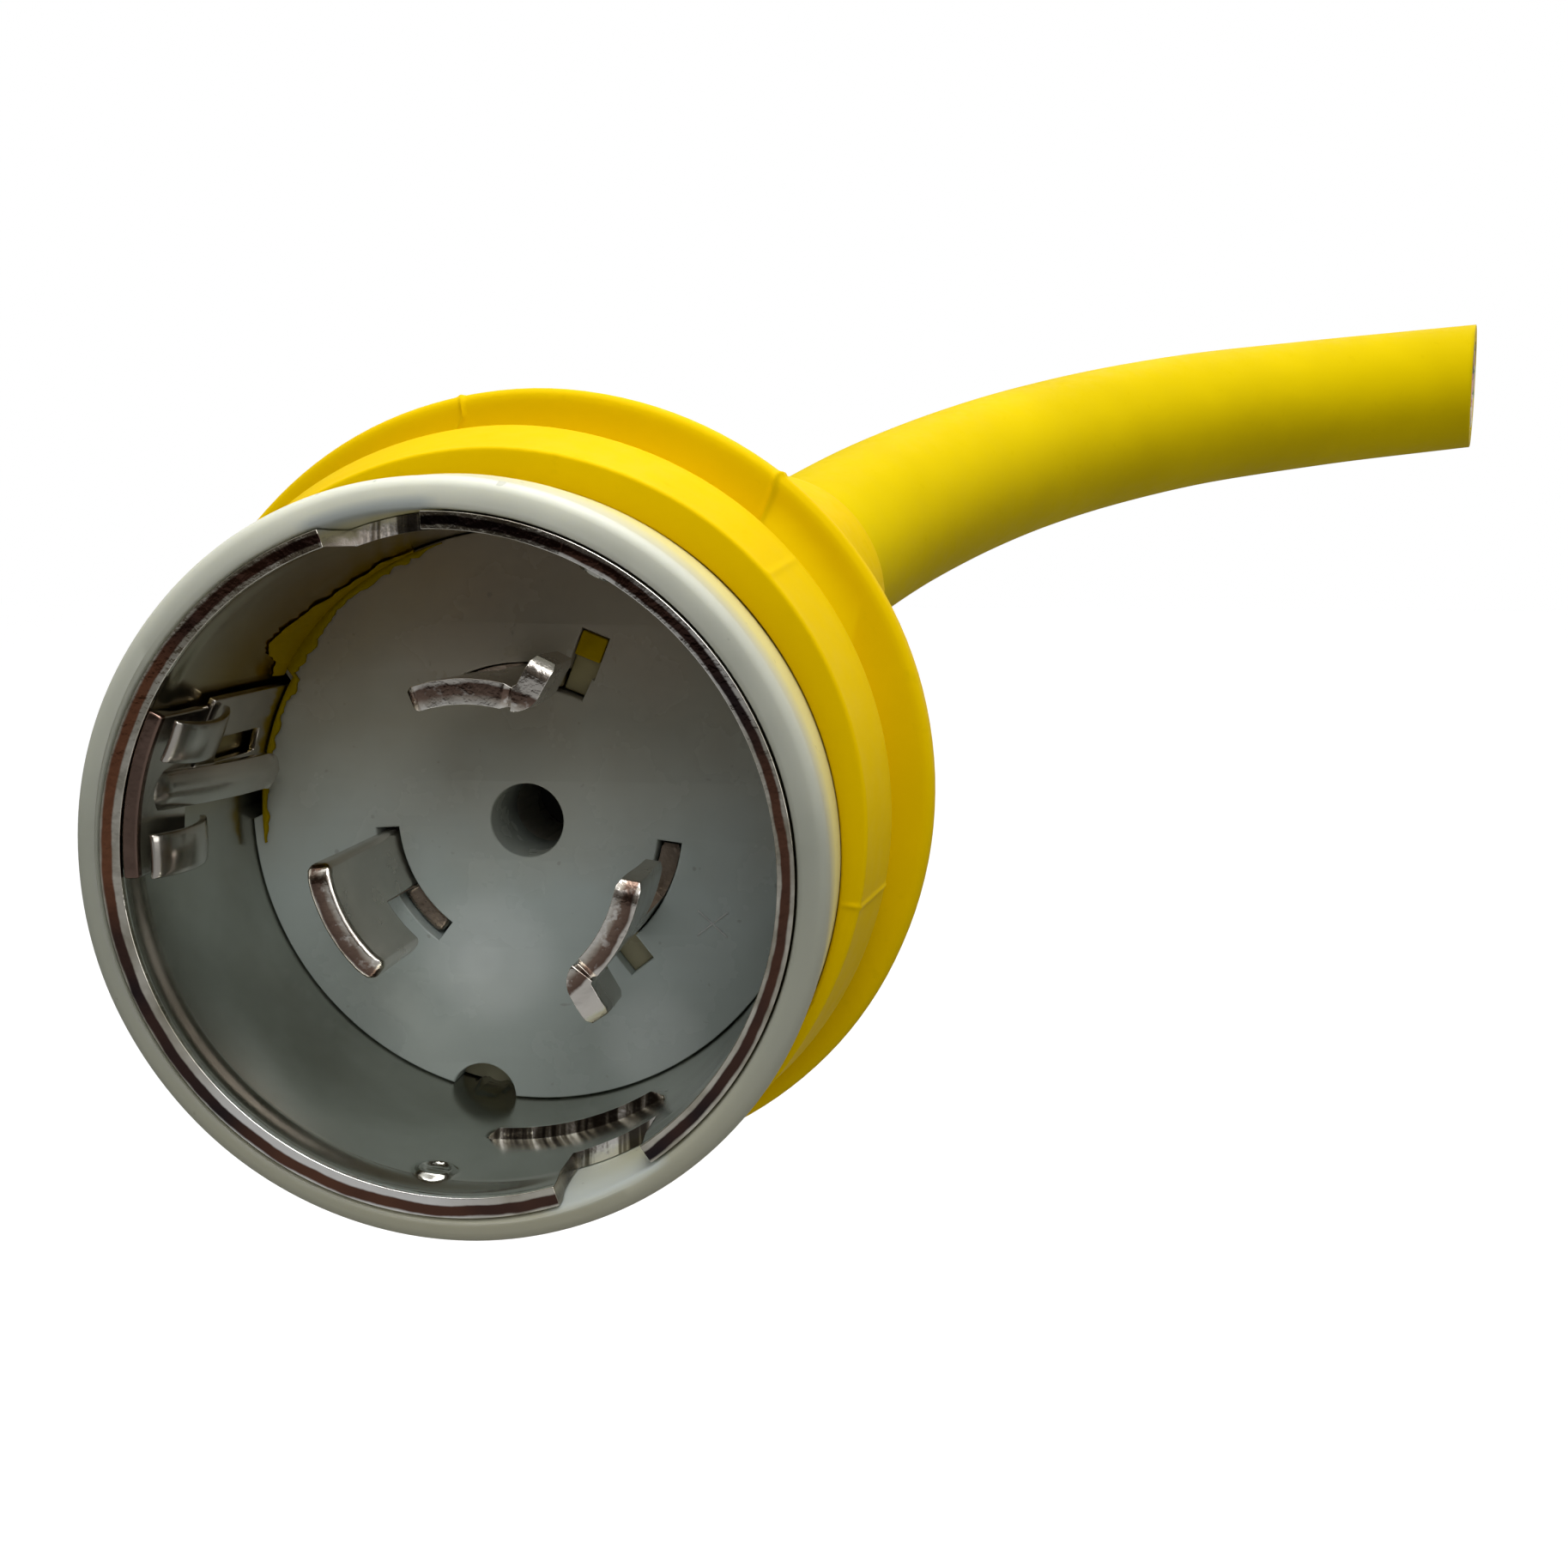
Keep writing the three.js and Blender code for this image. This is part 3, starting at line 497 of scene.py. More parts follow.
def tip_metal(name):
    """The blades' front edges, pitted: painted highlights along the inner and outer sides, a painted dark brown
    reflection between them, and painted glints strongest along the inside.
    """
    material, tree, shader = node_material(name)
    shader.inputs["Metallic"].default_value = 1.0
    grain = noise_value(tree, 1300, 3, 0.6)
    wander = map_range(tree, noise_value(tree, 450, 3), 0.3, 0.7, -0.00013, 0.00013)
    across = maths(tree, "ADD", object_radius(tree), wander)
    # Painted highlights at the inner and outer sides, a painted dark brown reflection between them.
    colour = ramp(tree, map_range(tree, across, 0.01165, 0.01355, 0, 1), [
        (0.06, (0.90, 0.87, 0.80)), (0.24, (0.62, 0.56, 0.48)), (0.42, (0.26, 0.18, 0.14)), (0.80, (0.17, 0.11, 0.085)),
        (0.90, (0.85, 0.81, 0.74))])
    # Painted glints, strongest along the inside.
    inside = map_range(tree, across, 0.0121, 0.0127, 1, 0.25)
    painted_glints = maths(tree, "MULTIPLY", map_range(tree, grain, 0.56, 0.66, 0, 0.9), inside)
    colour = mix_colour(tree, painted_glints, colour, (0.97, 0.94, 0.88))
    tree.links.new(colour, shader.inputs["Base Color"])
    tree.links.new(map_range(tree, noise_value(tree, 300, 4), 0.3, 0.7, 0.10, 0.24), shader.inputs["Roughness"])
    bump(tree, shader, (grain, 0.45, 0.10), (noise_value(tree, 420, 3), 0.35, 0.2))
    return material


def plain(name, colour, rough, metal=0.0, grain=300):
    material, tree, shader = node_material(name)
    cloud = noise_value(tree, grain * 0.3, 3)
    dark = tuple(c * 0.8 for c in colour)
    tree.links.new(mix_colour(tree, map_range(tree, cloud, 0.3, 0.7, 0, 1), dark, colour), shader.inputs["Base Color"])
    shader.inputs["Roughness"].default_value = rough
    shader.inputs["Metallic"].default_value = metal
    bump(tree, shader, (noise_value(tree, grain * 3, 3), 0.3, 0.05))
    return material


# Soft pale spots painted on the disc's face as highlights (x, z, radius, amount).
DISC_PAINTED_HIGHLIGHTS = ((-3.6, -12.2, 7.5, 0.42), (10.8, -19.2, 6.0, 0.30), (-4.5, -12.5, 2.6, 0.30))
VINYL = yellow_vinyl("yellow_vinyl")
VINYL_CORD = yellow_vinyl("yellow_cord", base=(0.62, 0.455, 0.0), grain=0.45)
# Darker copies of the yellow vinyl for the torn flash and the vinyl plug deep inside: painted shade.
VINYL_EDGE_PAINTED_SHADE = yellow_vinyl("yellow_torn_painted_shade", base=(0.27, 0.19, 0.0), grain=0.6)
VINYL_FLASH_PAINTED_SHADE = yellow_vinyl("yellow_flash_painted_shade", base=(0.33, 0.215, 0.0), grain=0.6)
# Nylon colours run from the bottom of the plug to its top: painted light and shade.
NYLON_BARREL = nylon("nylon_barrel", [(0.0, (0.36, 0.35, 0.26)), (0.30, (0.33, 0.335, 0.27)), (0.55, (0.33, 0.34, 0.28)),
                                      (0.80, (0.50, 0.51, 0.43)), (1.0, (0.72, 0.73, 0.62))], rough=(0.48, 0.62), subsurface=0.45, painted_barrel_light=True)
NYLON_DISC = nylon("nylon_disc", [(0.08, (0.37, 0.42, 0.40)), (0.36, (0.41, 0.47, 0.45)), (0.52, (0.39, 0.41, 0.36)),
                                  (0.66, (0.34, 0.33, 0.265)), (0.90, (0.35, 0.29, 0.21))], rough=(0.16, 0.34), subsurface=0.1,
                   painted_highlights=DISC_PAINTED_HIGHLIGHTS)
# A darker copy of the nylon for the pocket floors and the scallop's back: painted shade.
NYLON_PAINTED_SHADE = nylon("nylon_painted_shade", [(0.0, (0.26, 0.25, 0.17)), (1.0, (0.34, 0.28, 0.10))], subsurface=0.0)
NYLON_MARK = nylon("nylon_mark", [(0.0, (0.60, 0.64, 0.62)), (1.0, (0.60, 0.60, 0.55))], rough=(0.4, 0.6))
NYLON_REAR = nylon("nylon_rear", [(0.0, (0.37, 0.40, 0.36)), (1.0, (0.35, 0.33, 0.27))], painted_dark_bore=True)
NICKEL_LINER = liner_metal("nickel_liner")
NICKEL_BLADE = nickel("nickel_blade", rough=(0.16, 0.30), hammered=0.2)
NICKEL_SPRING = nickel("nickel_spring", rough=(0.14, 0.26), hammered=0.18)
# Dark brown nickel for the bar's front face: painted dark reflection.
NICKEL_BAR = nickel("nickel_bar", rough=(0.14, 0.28), tint=(0.30, 0.20, 0.16), hammered=0.5, scale=420, dark=0.2)
NICKEL_TIP = tip_metal("nickel_tip")
SHEARED = sheared("sheared_nickel")
SHEARED_DARK = nickel("sheared_shoulder", rough=(0.2, 0.4), tint=(0.52, 0.42, 0.33), hammered=0.9, scale=900, dark=0.35)
COPPER = plain("copper", (0.72, 0.34, 0.17), 0.32, 1.0, 600)
PREMOULD = plain("dark_premould", (0.05, 0.05, 0.05), 0.6)
FILLER = plain("fibre_filler", (0.50, 0.42, 0.28), 0.9, 0.0, 900)
INSULATION = {
    "black": plain("insulation_black", (0.02, 0.02, 0.02), 0.42),
    "green": plain("insulation_green", (0.03, 0.22, 0.06), 0.42),
    "white": plain("insulation_white", (0.74, 0.73, 0.68), 0.42),
    "red": plain("insulation_red", (0.48, 0.02, 0.02), 0.42),
}


# ---- Barrel: a thick translucent nylon tube with a soft rounded lip ----
def ring_surface(profile, columns=160, centre=None):
    """Rows of ring points for a closed profile of (radius, distance back)."""
    verts = []
    for r, y in profile:
        c = centre(y) if centre else Vector((0, 0, 0))
        for k in range(columns):
            verts.append(c + polar(r, 360 * k / columns, y))
    return verts, grid_faces(len(profile), columns, closed_rows=True)


def arc_profile(cx, cy, r, start, end, steps):
    """Points of a small rounding in a (radius, distance back) profile."""
    return [(cx + r * math.cos(math.radians(start + (end - start) * k / steps)),
             cy + r * math.sin(math.radians(start + (end - start) * k / steps))) for k in range(steps + 1)]


def build_barrel():
    lip, back = 0.9, 33.0
    profile = arc_profile(BARREL_R - lip, lip, lip, 0, -80, 6)
    profile += [(27.2, 0.03), (26.8, 0.08), (26.5, 0.2), (26.36, 0.45), (26.3, 0.8), (26.28, 1.25)]
    inner = [(BARREL_INNER + 0.22, y) for y in spaced(1.8, back, 3)]
    outer = [(BARREL_R, y) for y in reversed(spaced(1.4, back, 2))]
    profile = profile + inner + outer
    verts, faces = ring_surface(profile, 200)
    shaped = []
    for v in verts:
        r = math.hypot(v.x, v.z)
        a = math.degrees(math.atan2(v.z, v.x)) % 360
        wave = 0.05 * noise.noise(Vector((v.x * 0.09, v.y * 0.12, v.z * 0.09)))
        if r > 27.0:
            # the mouth stands a little proud at the lower left, and the tube bulges at the top
            wave += (0.27 + 0.22 * math.cos(math.radians(a - 215))) * (1 - smooth(v.y, 2.5, 8)) * smooth(r, 27.0, 28.4)
            top = math.exp(-((a - 76) / 20) ** 2)
            wave += 0.30 * top * smooth(v.y, 2.2, 3.6) - 0.12 * top * smooth(v.y, 5.0, 8.0)
        elif v.y < RIM_ROLL_END:
            wave += rim_out(a, v.y)[0] * (1 - smooth(r, 26.7, 27.0) * 0.55)
        scale = (r + wave) / r
        shaped.append(Vector((v.x * scale, v.y + 0.06 * wave, v.z * scale)))
    return piece("nylon_barrel", shaped, faces, NYLON_BARREL, "plug", ["barrel_sleeve"], sharp=60)


# ---- Liner: plated steel tube with bayonet notches, a lanced rib and pressed dimples ----
RIB_FROM, RIB_TO = 267.0, 304.5
DIMPLES = ((264.0, 4.0, 1.0), (63.0, 4.0, 2.0), (260.5, 24.0, 1.2))


def turn_between(a, b):
    return (a - b + 180) % 360 - 180


def liner_height(a, y):
    """How far the liner's wall stands in from its round, in mm."""
    height = 0.0
    for at, back, size in DIMPLES:
        across = math.radians(turn_between(a, at)) * SHELL_IN
        d = math.hypot(across, y - back)
        height += size * (0.34 * math.exp(-((d - 1.3) / 0.28) ** 2) + 0.08 * (1 - smooth(d, 1.0, 1.8)))
        height += size * 0.12 * math.exp(-((y - back) / 0.25) ** 2) * (1 - smooth(d, 0.7, 1.1))
    ends = smooth(a, RIB_FROM, RIB_FROM + 3.5) * (1 - smooth(a, RIB_TO - 2.5, RIB_TO))
    if ends > 0 and 11.8 < y < 15.6:
        height += 0.95 * ends * smooth(y, 11.85, 12.05) * (1 - smooth(y, 12.4, 14.0))
    return height


def weigh_edges(obj, angle, weight_at):
    """Bevels only edges sharper than an angle, each as wide as its weight at that distance back says."""
    bm = bmesh.new()
    bm.from_mesh(obj.data)
    layer = bm.edges.layers.float.new("bevel_weight_edge")
    for edge in bm.edges:
        if len(edge.link_faces) == 2 and edge.calc_face_angle() > math.radians(angle):
            edge[layer] = weight_at(sum(v.co.y for v in edge.verts) / 2 / MM)
    bm.to_mesh(obj.data)
    bm.free()
    obj.modifiers["bevel"].limit_method = "WEIGHT"


def build_liner():
    wall = SHELL_OUT - SHELL_IN
    notch_edges = [n + side * NOTCH_HALF for n in NOTCHES for side in (-1, 1)]
    dimple_cols = [x for at, _, _ in DIMPLES for x in spaced(at - 5, at + 5, 0.5)]
    angles = merged(spaced(0, 358.2, 1.8), dimple_cols, notch_edges, spaced(RIB_FROM, RIB_TO, 0.8))
    angles = [a for a in angles if all(abs(a - e) > 0.35 or a == e for e in notch_edges)]
    rows = merged(
        [SHELL_FRONT, SHELL_FRONT + 0.55, NOTCH_BACK],
        spaced(SHELL_FRONT + 0.8, 6.3, 0.16), spaced(6.8, 11.6, 0.8),
        [11.85, 11.95, 12.05, 12.2, 12.4, 12.7, 13, 13.4, 13.8, 14.2, 15], spaced(16.2, 22.8, 1.1),
        spaced(23.6, 28.4, 0.35), [29.2, 31])
    middle, normal = [], []
    for a in angles:
        out = polar(1, a)
        lift = [sum(rim_out(a, y)) / 2 - liner_height(a, y) for y in rows]
        middle.append([polar((SHELL_OUT + SHELL_IN) / 2 + h, a, y) for y, h in zip(rows, lift)])
        normal.append([out] * len(rows))

    def thick(i, j):
        outer, inner = rim_out(angles[i], rows[j])
        return wall + outer - inner

    def present(i, j):
        a = angles[i]
        b = angles[(i + 1) % len(angles)] + (360 if i + 1 == len(angles) else 0)
        mid_a, mid_y = (a + b) / 2, (rows[j] + rows[j + 1]) / 2
        return not (mid_y < NOTCH_BACK and any(abs(turn_between(mid_a, n)) < NOTCH_HALF for n in NOTCHES))

    verts, faces = thick_sheet(middle, normal, thick, present, closed=True)
    liner = piece("ground_liner", verts, faces, NICKEL_LINER, "plug", ["ground_shell"],
                  bevel=0.5, segments=5)
    weigh_edges(liner, 50, lambda y: 1.0 if y < NOTCH_BACK - 0.3 else 0.16)
    liner.data.materials.append(SHEARED)
    for face in liner.data.polygons:
        c, n = face.center / MM, face.normal
        radial = Vector((c.x, 0, c.z)).normalized()
        a = math.degrees(math.atan2(c.z, c.x)) % 360
        notch_edge = c.y < NOTCH_BACK + 0.05 and abs(n.dot(radial)) < 0.3 and c.y > SHELL_FRONT + 0.1
        rib_edge = RIB_FROM < a < RIB_TO and 11.8 < c.y < 12.7 and abs(n.y) > 0.25
        if notch_edge or rib_edge:
            face.material_index = 1
    return liner


# ---- Insulating disc, from a flat outline with its slots ----
def arc_points(r, start, end, step=3.0):
    return [polar(r, a) for a in spaced_any(start, end, step)]


def spaced_any(start, end, step):
    count = max(1, math.ceil(abs(end - start) / step))
    return [start + (end - start) * k / count for k in range(count + 1)]


def outline_solid(name, outlines, front, back, rounding, material, body, node_names):
    """Extrudes closed X-Z outlines along the plug's axis with softly rounded edges. The first is the outside."""
    curve = bpy.data.curves.new(name, "CURVE")
    curve.dimensions = "2D"
    curve.fill_mode = "BOTH"
    curve.extrude = ((back - front) / 2 - rounding) * MM
    curve.bevel_depth = rounding * MM
    curve.bevel_resolution = 2
    curve.offset = -rounding * MM
    for points in outlines:
        spline = curve.splines.new("POLY")
        spline.points.add(len(points) - 1)
        for target, p in zip(spline.points, points):
            target.co = (p.x * MM, p.z * MM, 0, 1)
        spline.use_cyclic_u = True
    source = bpy.data.objects.new(name + "_outline", curve)
    bpy.context.scene.collection.objects.link(source)
    bpy.context.view_layer.update()
    mesh = bpy.data.meshes.new_from_object(source.evaluated_get(bpy.context.evaluated_depsgraph_get()))
    bpy.data.objects.remove(source)
    mesh.transform(Matrix.Rotation(math.radians(90), 4, "X"))
    mesh.transform(Matrix.Translation((0, (front + back) / 2 * MM, 0)))
    verts = [v.co / MM for v in mesh.vertices]
    faces = [tuple(f.vertices) for f in mesh.polygons]
    return piece(name, verts, faces, material, body, node_names, sharp=30)


POCKET_ENDS = {"hot_a": 17.3, "hot_b": 16.05}


def slot_outline(name, start):
    inner, outer = 11.55, 13.6
    low, high = start + 0.2, start + 48.9
    points = [p for p in arc_points(inner, low, high)]
    if name not in POCKET_ENDS:
        return points + arc_points(outer, high, low)
    half = 1.25
    middle = start + 4.5
    across = polar(1, middle + 90)
    base_turn = math.degrees(half / outer)
    points += arc_points(outer, high, middle + base_turn)
    end = polar(POCKET_ENDS[name], middle)
    points += [end + across * half, end - across * half]
    points += arc_points(outer, middle - base_turn, low, 2.0)
    return points


def build_disc():
    edge = []
    scallop_centre, scallop_r = polar(25.2, 259.7), 2.9
    for a in spaced_any(-95, 265, 1.5):
        r = 24.8
        if 149.5 < a < 181:
            r = 23.55
        p = polar(r, a)
        if (p - scallop_centre).length > scallop_r:
            edge.append(p)
            continue
        direction = (p - scallop_centre).normalized()
        edge.append(scallop_centre + direction * scallop_r if p.length > 25.2 else p)
    edge = [p for p in edge if (p - scallop_centre).length > scallop_r - 0.01]
    # the scallop's own round, walked from one side of the bite to the other
    inward = [scallop_centre + polar(scallop_r, a) for a in spaced_any(159, 0.4, 9)]
    cut = min(range(len(edge)), key=lambda k: abs(turn_between(math.degrees(math.atan2(edge[k].z, edge[k].x)), 266.6)))
    ordered = edge[cut:] + edge[:cut]
    ordered = [p for p in ordered if abs(turn_between(math.degrees(math.atan2(p.z, p.x)), 259.7)) > 6.4]
    outline = ordered + inward
    hole = [polar(3.2, a) for a in spaced_any(0, 352, 8)]
    outlines = [outline, hole] + [slot_outline(n, s) for n, s in SLOT_STARTS.items()]
    return outline_solid("insulator_face", outlines, DISC_FRONT, DISC_BACK, 0.18, NYLON_DISC, "plug",
                         ["insulator_disc"])


# ---- Blades: strip bent round the plug's axis, two of them with a hooked end ----
def blade_path(start, hooked):
    """Middle line of the strip seen end on, as (point, outward normal, hook share), from its far end to its hook."""
    line = []
    last = start + (10.5 if hooked else 1.5)
    for a in spaced_any(start + 47.5, last, 2.4):
        line.append((polar(BLADE_MID, a), polar(1, a), 0.0))
    if hooked:
        bend, length = 1.35, 2.5
        out, round_way = polar(1, last), polar(1, last - 90)
        centre = polar(BLADE_MID + bend, last)
        for k in range(1, 10):
            turn = math.radians(80 * k / 9)
            c, s = math.cos(turn), math.sin(turn)
            line.append((centre + (round_way * s - out * c) * bend, out * c - round_way * s, 1.0))
        tip, n = line[-1][0], line[-1][1]
        run = (tip - line[-2][0]).normalized()
        for k in range(1, 6):
            line.append((tip + run * (length * k / 5), n, 1.0))
    return line


def build_blade(name, start, hooked):
    line = blade_path(start, hooked)
    rows = merged([BLADE_TIP, BLADE_TIP + 0.6, 9.5, 12.4, 15.5, 19, 23, 26, 29.6])
    seam = next((i for i, row in enumerate(line) if row[2]), None)

    def front_drop(i, j):
        """The front edge is rounded back at both ends, and nicked where the hook starts."""
        if j > 1:
            return 0.0
        ends = min(i, len(line) - 1 - i)
        return {0: 0.75, 1: 0.28, 2: 0.07}.get(ends, 0.4 if seam and i == seam - 1 else 0.0)

    middle = [[Vector((p.x, y + front_drop(i, j), p.z)) for j, y in enumerate(rows)] for i, (p, _, _) in enumerate(line)]
    normal = [[n] * len(rows) for _, n, _ in line]

    def present(i, j):
        y = (rows[j] + rows[j + 1]) / 2
        hook = (line[i][2] + line[i + 1][2]) / 2
        if hook > 0.25:
            return y < 12.4
        a = math.degrees(math.atan2(line[i][0].z + line[i + 1][0].z, line[i][0].x + line[i + 1][0].x))
        past = turn_between(a, start)
        return not (15.5 < y < 23 and past > 26)

    def thick(i, j):
        """Coined thicker along the front edge, with a pinch where the hook starts and a rounded end."""
        value = BLADE_TIP_THICK if rows[j] < 12 else BLADE_THICK
        if seam and i == seam - 1:
            value -= 0.5
        ends = min(i, len(line) - 1 - i)
        return value - (0.45 if ends == 0 else 0.0) + 0.05 * noise.noise(Vector((i * 0.9, j * 1.3, start)))

    verts, faces = thick_sheet(middle, normal, thick, present)
    blade = piece(name, verts, faces, NICKEL_BLADE, "plug", [name], bevel=0.38, limit=38, segments=4)
    blade.data.materials.append(SHEARED_DARK)
    blade.data.materials.append(NICKEL_TIP)
    for face in blade.data.polygons:
        c = face.center / MM
        if face.normal.y < -0.55 and c.y < 24:
            face.material_index = 1 if c.y > 20 else 2
    tail = [[polar(BLADE_MID, a, y) for y in (29.2, 36, 42.4)] for a in spaced_any(start + 14, start + 35, 3)]
    out = [[polar(1, a)] * 3 for a in spaced_any(start + 14, start + 35, 3)]
    tail_verts, tail_faces = thick_sheet(tail, out, BLADE_THICK)
    piece(name + "_tail", tail_verts, tail_faces, NICKEL_BLADE, "plug", (), bevel=0.2)
    return blade


# ---- Ground contact: bar and curled fingers at the rim, sprung tongue, flat strap ----
def wall_strip(name, line, angle, width, thick, body, node_names=(), columns=6, round_tip=False, crown=0.0):
    """A bent strip standing off the liner's inner wall. line holds (distance back, height off the wall)."""
    out, across = polar(1, angle), polar(1, angle + 90)
    middle, normal = [], []
    for k, (y, h) in enumerate(line):
        before, after = line[max(0, k - 1)], line[min(len(line) - 1, k + 1)]
        run = Vector((after[0] - before[0], after[1] - before[1])).normalized()
        n = out * -run.x + Vector((0, 1, 0)) * -run.y
        row, row_n = [], []
        for c in range(columns + 1):
            side = 2 * c / columns - 1
            reach = width / 2
            if round_tip:
                left = sum(math.dist(line[m], line[m + 1]) for m in range(k, len(line) - 1))
                if left < width / 2:
                    reach = math.sqrt(max(0.04, (width / 2) ** 2 - (width / 2 - left) ** 2))
            fall = crown * side * side * (0.3 if round_tip and k > len(line) - 6 else 1.0)
            p = out * (SHELL_IN - h) + Vector((0, y, 0)) + across * (side * reach) + out * fall
            row.append(p)
            row_n.append(n)
        middle.append(row)
        normal.append(row_n)
    verts, faces = thick_sheet(middle, normal, thick)
    return piece(name, verts, faces, NICKEL_SPRING, body, node_names, bevel=0.14, limit=40, segments=2)


def curl(y0, y1, rise, foot, steps=18):
    """Side view of a finger that rolls up off the bar, over a round crest near its front and back towards the wall."""
    line = []
    for k in range(steps + 1):
        t = k / steps
        crest = math.sin(math.pi * min(1.0, 0.10 + 0.86 * t ** 0.92)) ** 0.75
        line.append((y0 + (y1 - y0) * t, foot + (rise - foot) * crest))
    return line


def build_ground_contact():
    bar_angles = spaced_any(152.8, 183.2, 2)
    rows = [SHELL_FRONT + 0.1, SHELL_FRONT + 0.7, 1.6, 2.4, 3.2, 4, 6, 8]
    lip = [1 - smooth(y, RIM_ROLL_START, RIM_ROLL_END) for y in rows]
    middle = [[polar(24.25 + 0.33 * t, a, y) for y, t in zip(rows, lip)] for a in bar_angles]
    normal = [[polar(1, a)] * len(rows) for a in bar_angles]
    verts, faces = thick_sheet(middle, normal, lambda i, j: 0.62 + 0.58 * lip[j])
    bar = piece("ground_clip_bar", verts, faces, NICKEL_SPRING, "plug", ["ground_clip"], bevel=0.22,
                segments=3)
    # The bar's front face is painted dark brown: a painted dark reflection like the one on the liner's rim.
    bar.data.materials.append(NICKEL_BAR)
    for face in bar.data.polygons:
        if face.center.y / MM < SHELL_FRONT + 0.7:
            face.material_index = 1
    for k, angle in enumerate((156.8, 179.4)):
        wall_strip(f"ground_finger_{k + 1}", curl(0.9, 10.2, 3.0, 1.0), angle, 3.4, 0.55, "plug", columns=6, crown=0.10)
    tongue = [(2.3, 0.55), (2.9, 0.85), (3.5, 1.2), (4.0, 1.38)]
    for y in spaced(4.4, 18.6, 0.9):
        tongue.append((y, 1.45 + 1.75 * math.sin(math.pi / 2 * (y - 4.4) / 14.2)))
    tongue = tongue[:-1] + [(y, 3.2) for y in (18.0, 18.4, 18.8, 19.1, 19.3)]
    wall_strip("sprung_tongue", tongue, 168.2, 3.1, 0.6, "spring_tongue", ["ground_tongue"], columns=8, round_tip=True,
               crown=0.42)
    angles = merged(spaced_any(151.5, 168, 1.5), [160.5, 165.5])
    rows = merged([8.4, 9, 10.5, 11.9, 16, 19.3, 22, 26, 32, 39.6, 40.4])
    middle = [[polar(24.22, a, y) for y in rows] for a in angles]
    normal = [[polar(1, a)] * len(rows) for a in angles]

    def present(i, j):
        a, y = (angles[i] + angles[i + 1]) / 2, (rows[j] + rows[j + 1]) / 2
        return not (160.5 < a < 165.5 and 11.9 < y < 19.3)

    verts, faces = thick_sheet(middle, normal, 0.62, present)
    piece("ground_strap_flat", verts, faces, NICKEL_SPRING, "plug", ["ground_strap"], bevel=0.12,
          segments=2)


# ---- Yellow moulded body, one skin from the collar to the end of the strain relief ----
def collar_edge(a, t):
    """Radius of the collar's side at an angle, from its front face (t = 0) to its root (t = 1). It drifts off centre."""
    c, s = math.cos(math.radians(a)), math.sin(math.radians(a))
    r = 28.95 + 1.85 * t + (1.6 - 0.6 * t) * c + (2.0 + 0.18 * t) * s
    low = 29.35 + 0.4 * t
    return low + math.log1p(math.exp(5 * (r - low))) / 5


def body_point(kind, s, size, a, lift):
    """A point of the moulded body. Collar rows are measured in from the collar's edge; the others are radii."""
    c, n = math.cos(math.radians(a)), math.sin(math.radians(a))
    if kind == "collar":
        t = min(1.0, max(0.0, (s - 8.8) / 7.0))
        return polar(collar_edge(a, t) - size + lift, a, s)
    if kind == "axis":
        return polar(size + lift, a, s)
    if kind == "flange":
        p = Vector((1.6 + (size + lift) * c, s, 2.95 + (size + lift) * n))
        reach = math.hypot(p.x, p.z)
        keep = 30.1 + 0.02 * (size - 31)
        if reach < keep:
            p = Vector((p.x * keep / reach, s, p.z * keep / reach))
        return p
    point, _, up, side = station(s)
    return point + side * ((size + lift) * c) + up * ((size + lift) * n)


def body_rows():
    rows = [("axis", 9.4, 28.54), ("axis", 8.7, 28.55), ("axis", 8.42, 28.62), ("axis", 8.32, 28.78)]
    rows += [("collar", 8.3, d) for d in (0.9, 0.6, 0.34)]
    rows += [("collar", 8.33, 0.20), ("collar", 8.42, 0.09), ("collar", 8.56, 0.02), ("collar", 8.8, 0.0)]
    rows += [("collar", s, 0.0) for s in (10, 11.5, 13, 14.4, 15.4)]
    rows += [("collar", 15.9, 0.03), ("collar", 16.3, 0.15), ("collar", 16.8, 0.4), ("collar", 18, 0.75), ("collar", 19.6, 1.0)]
    rows += [("collar", 20.35, 0.85), ("flange", 20.5, 31.5), ("flange", 20.5, 31.9), ("flange", 20.52, 32.3)]
    rows += [("flange", 20.58, 32.7), ("flange", 20.72, 32.98), ("flange", 20.98, 33.18), ("flange", 21.35, 33.3)]
    rows += [("flange", 22.6, 33.34), ("flange", 23.6, 33.3), ("flange", 24.1, 33.1), ("flange", 24.45, 32.7)]
    rows += [("flange", 24.55, 32.2), ("line", 24.9, 31.7), ("line", 26, 31.6), ("line", 30, 31.5)]
    outer = [(36, 31.3), (42, 31.0), (48, 30.0), (54, 28.6), (62, 27.0), (70, 25.4), (80, 23.7), (90, 22.3), (100, 21.1),
             (110, 20.0), (120, 19.15), (130, 18.4), (138, 17.95), (142, 17.72), (143.6, 17.6), (144.6, 17.35),
             (145.3, 16.95), (145.8, 16.4), (146.0, 15.7), (146.0, 14.6), (145.9, 14.1), (145.5, 13.85)]
    rows += [("line", s, r) for s, r in outer]
    rows += [("line", s, 13.8) for s in (140, 125, 110, 95, 76)]
    rows += [("axis", 74.2, 17.3), ("axis", 60, 21.3), ("axis", 38.5, 21.3), ("axis", 38.5, 25.2), ("axis", 33.4, 25.2)]
    rows += [("axis", 33.3, 28.8), ("axis", 24, 28.8), ("axis", 14, 28.8)]
    return rows


def mark(a, at, width):
    return math.exp(-(turn_between(a, at) / width) ** 2)


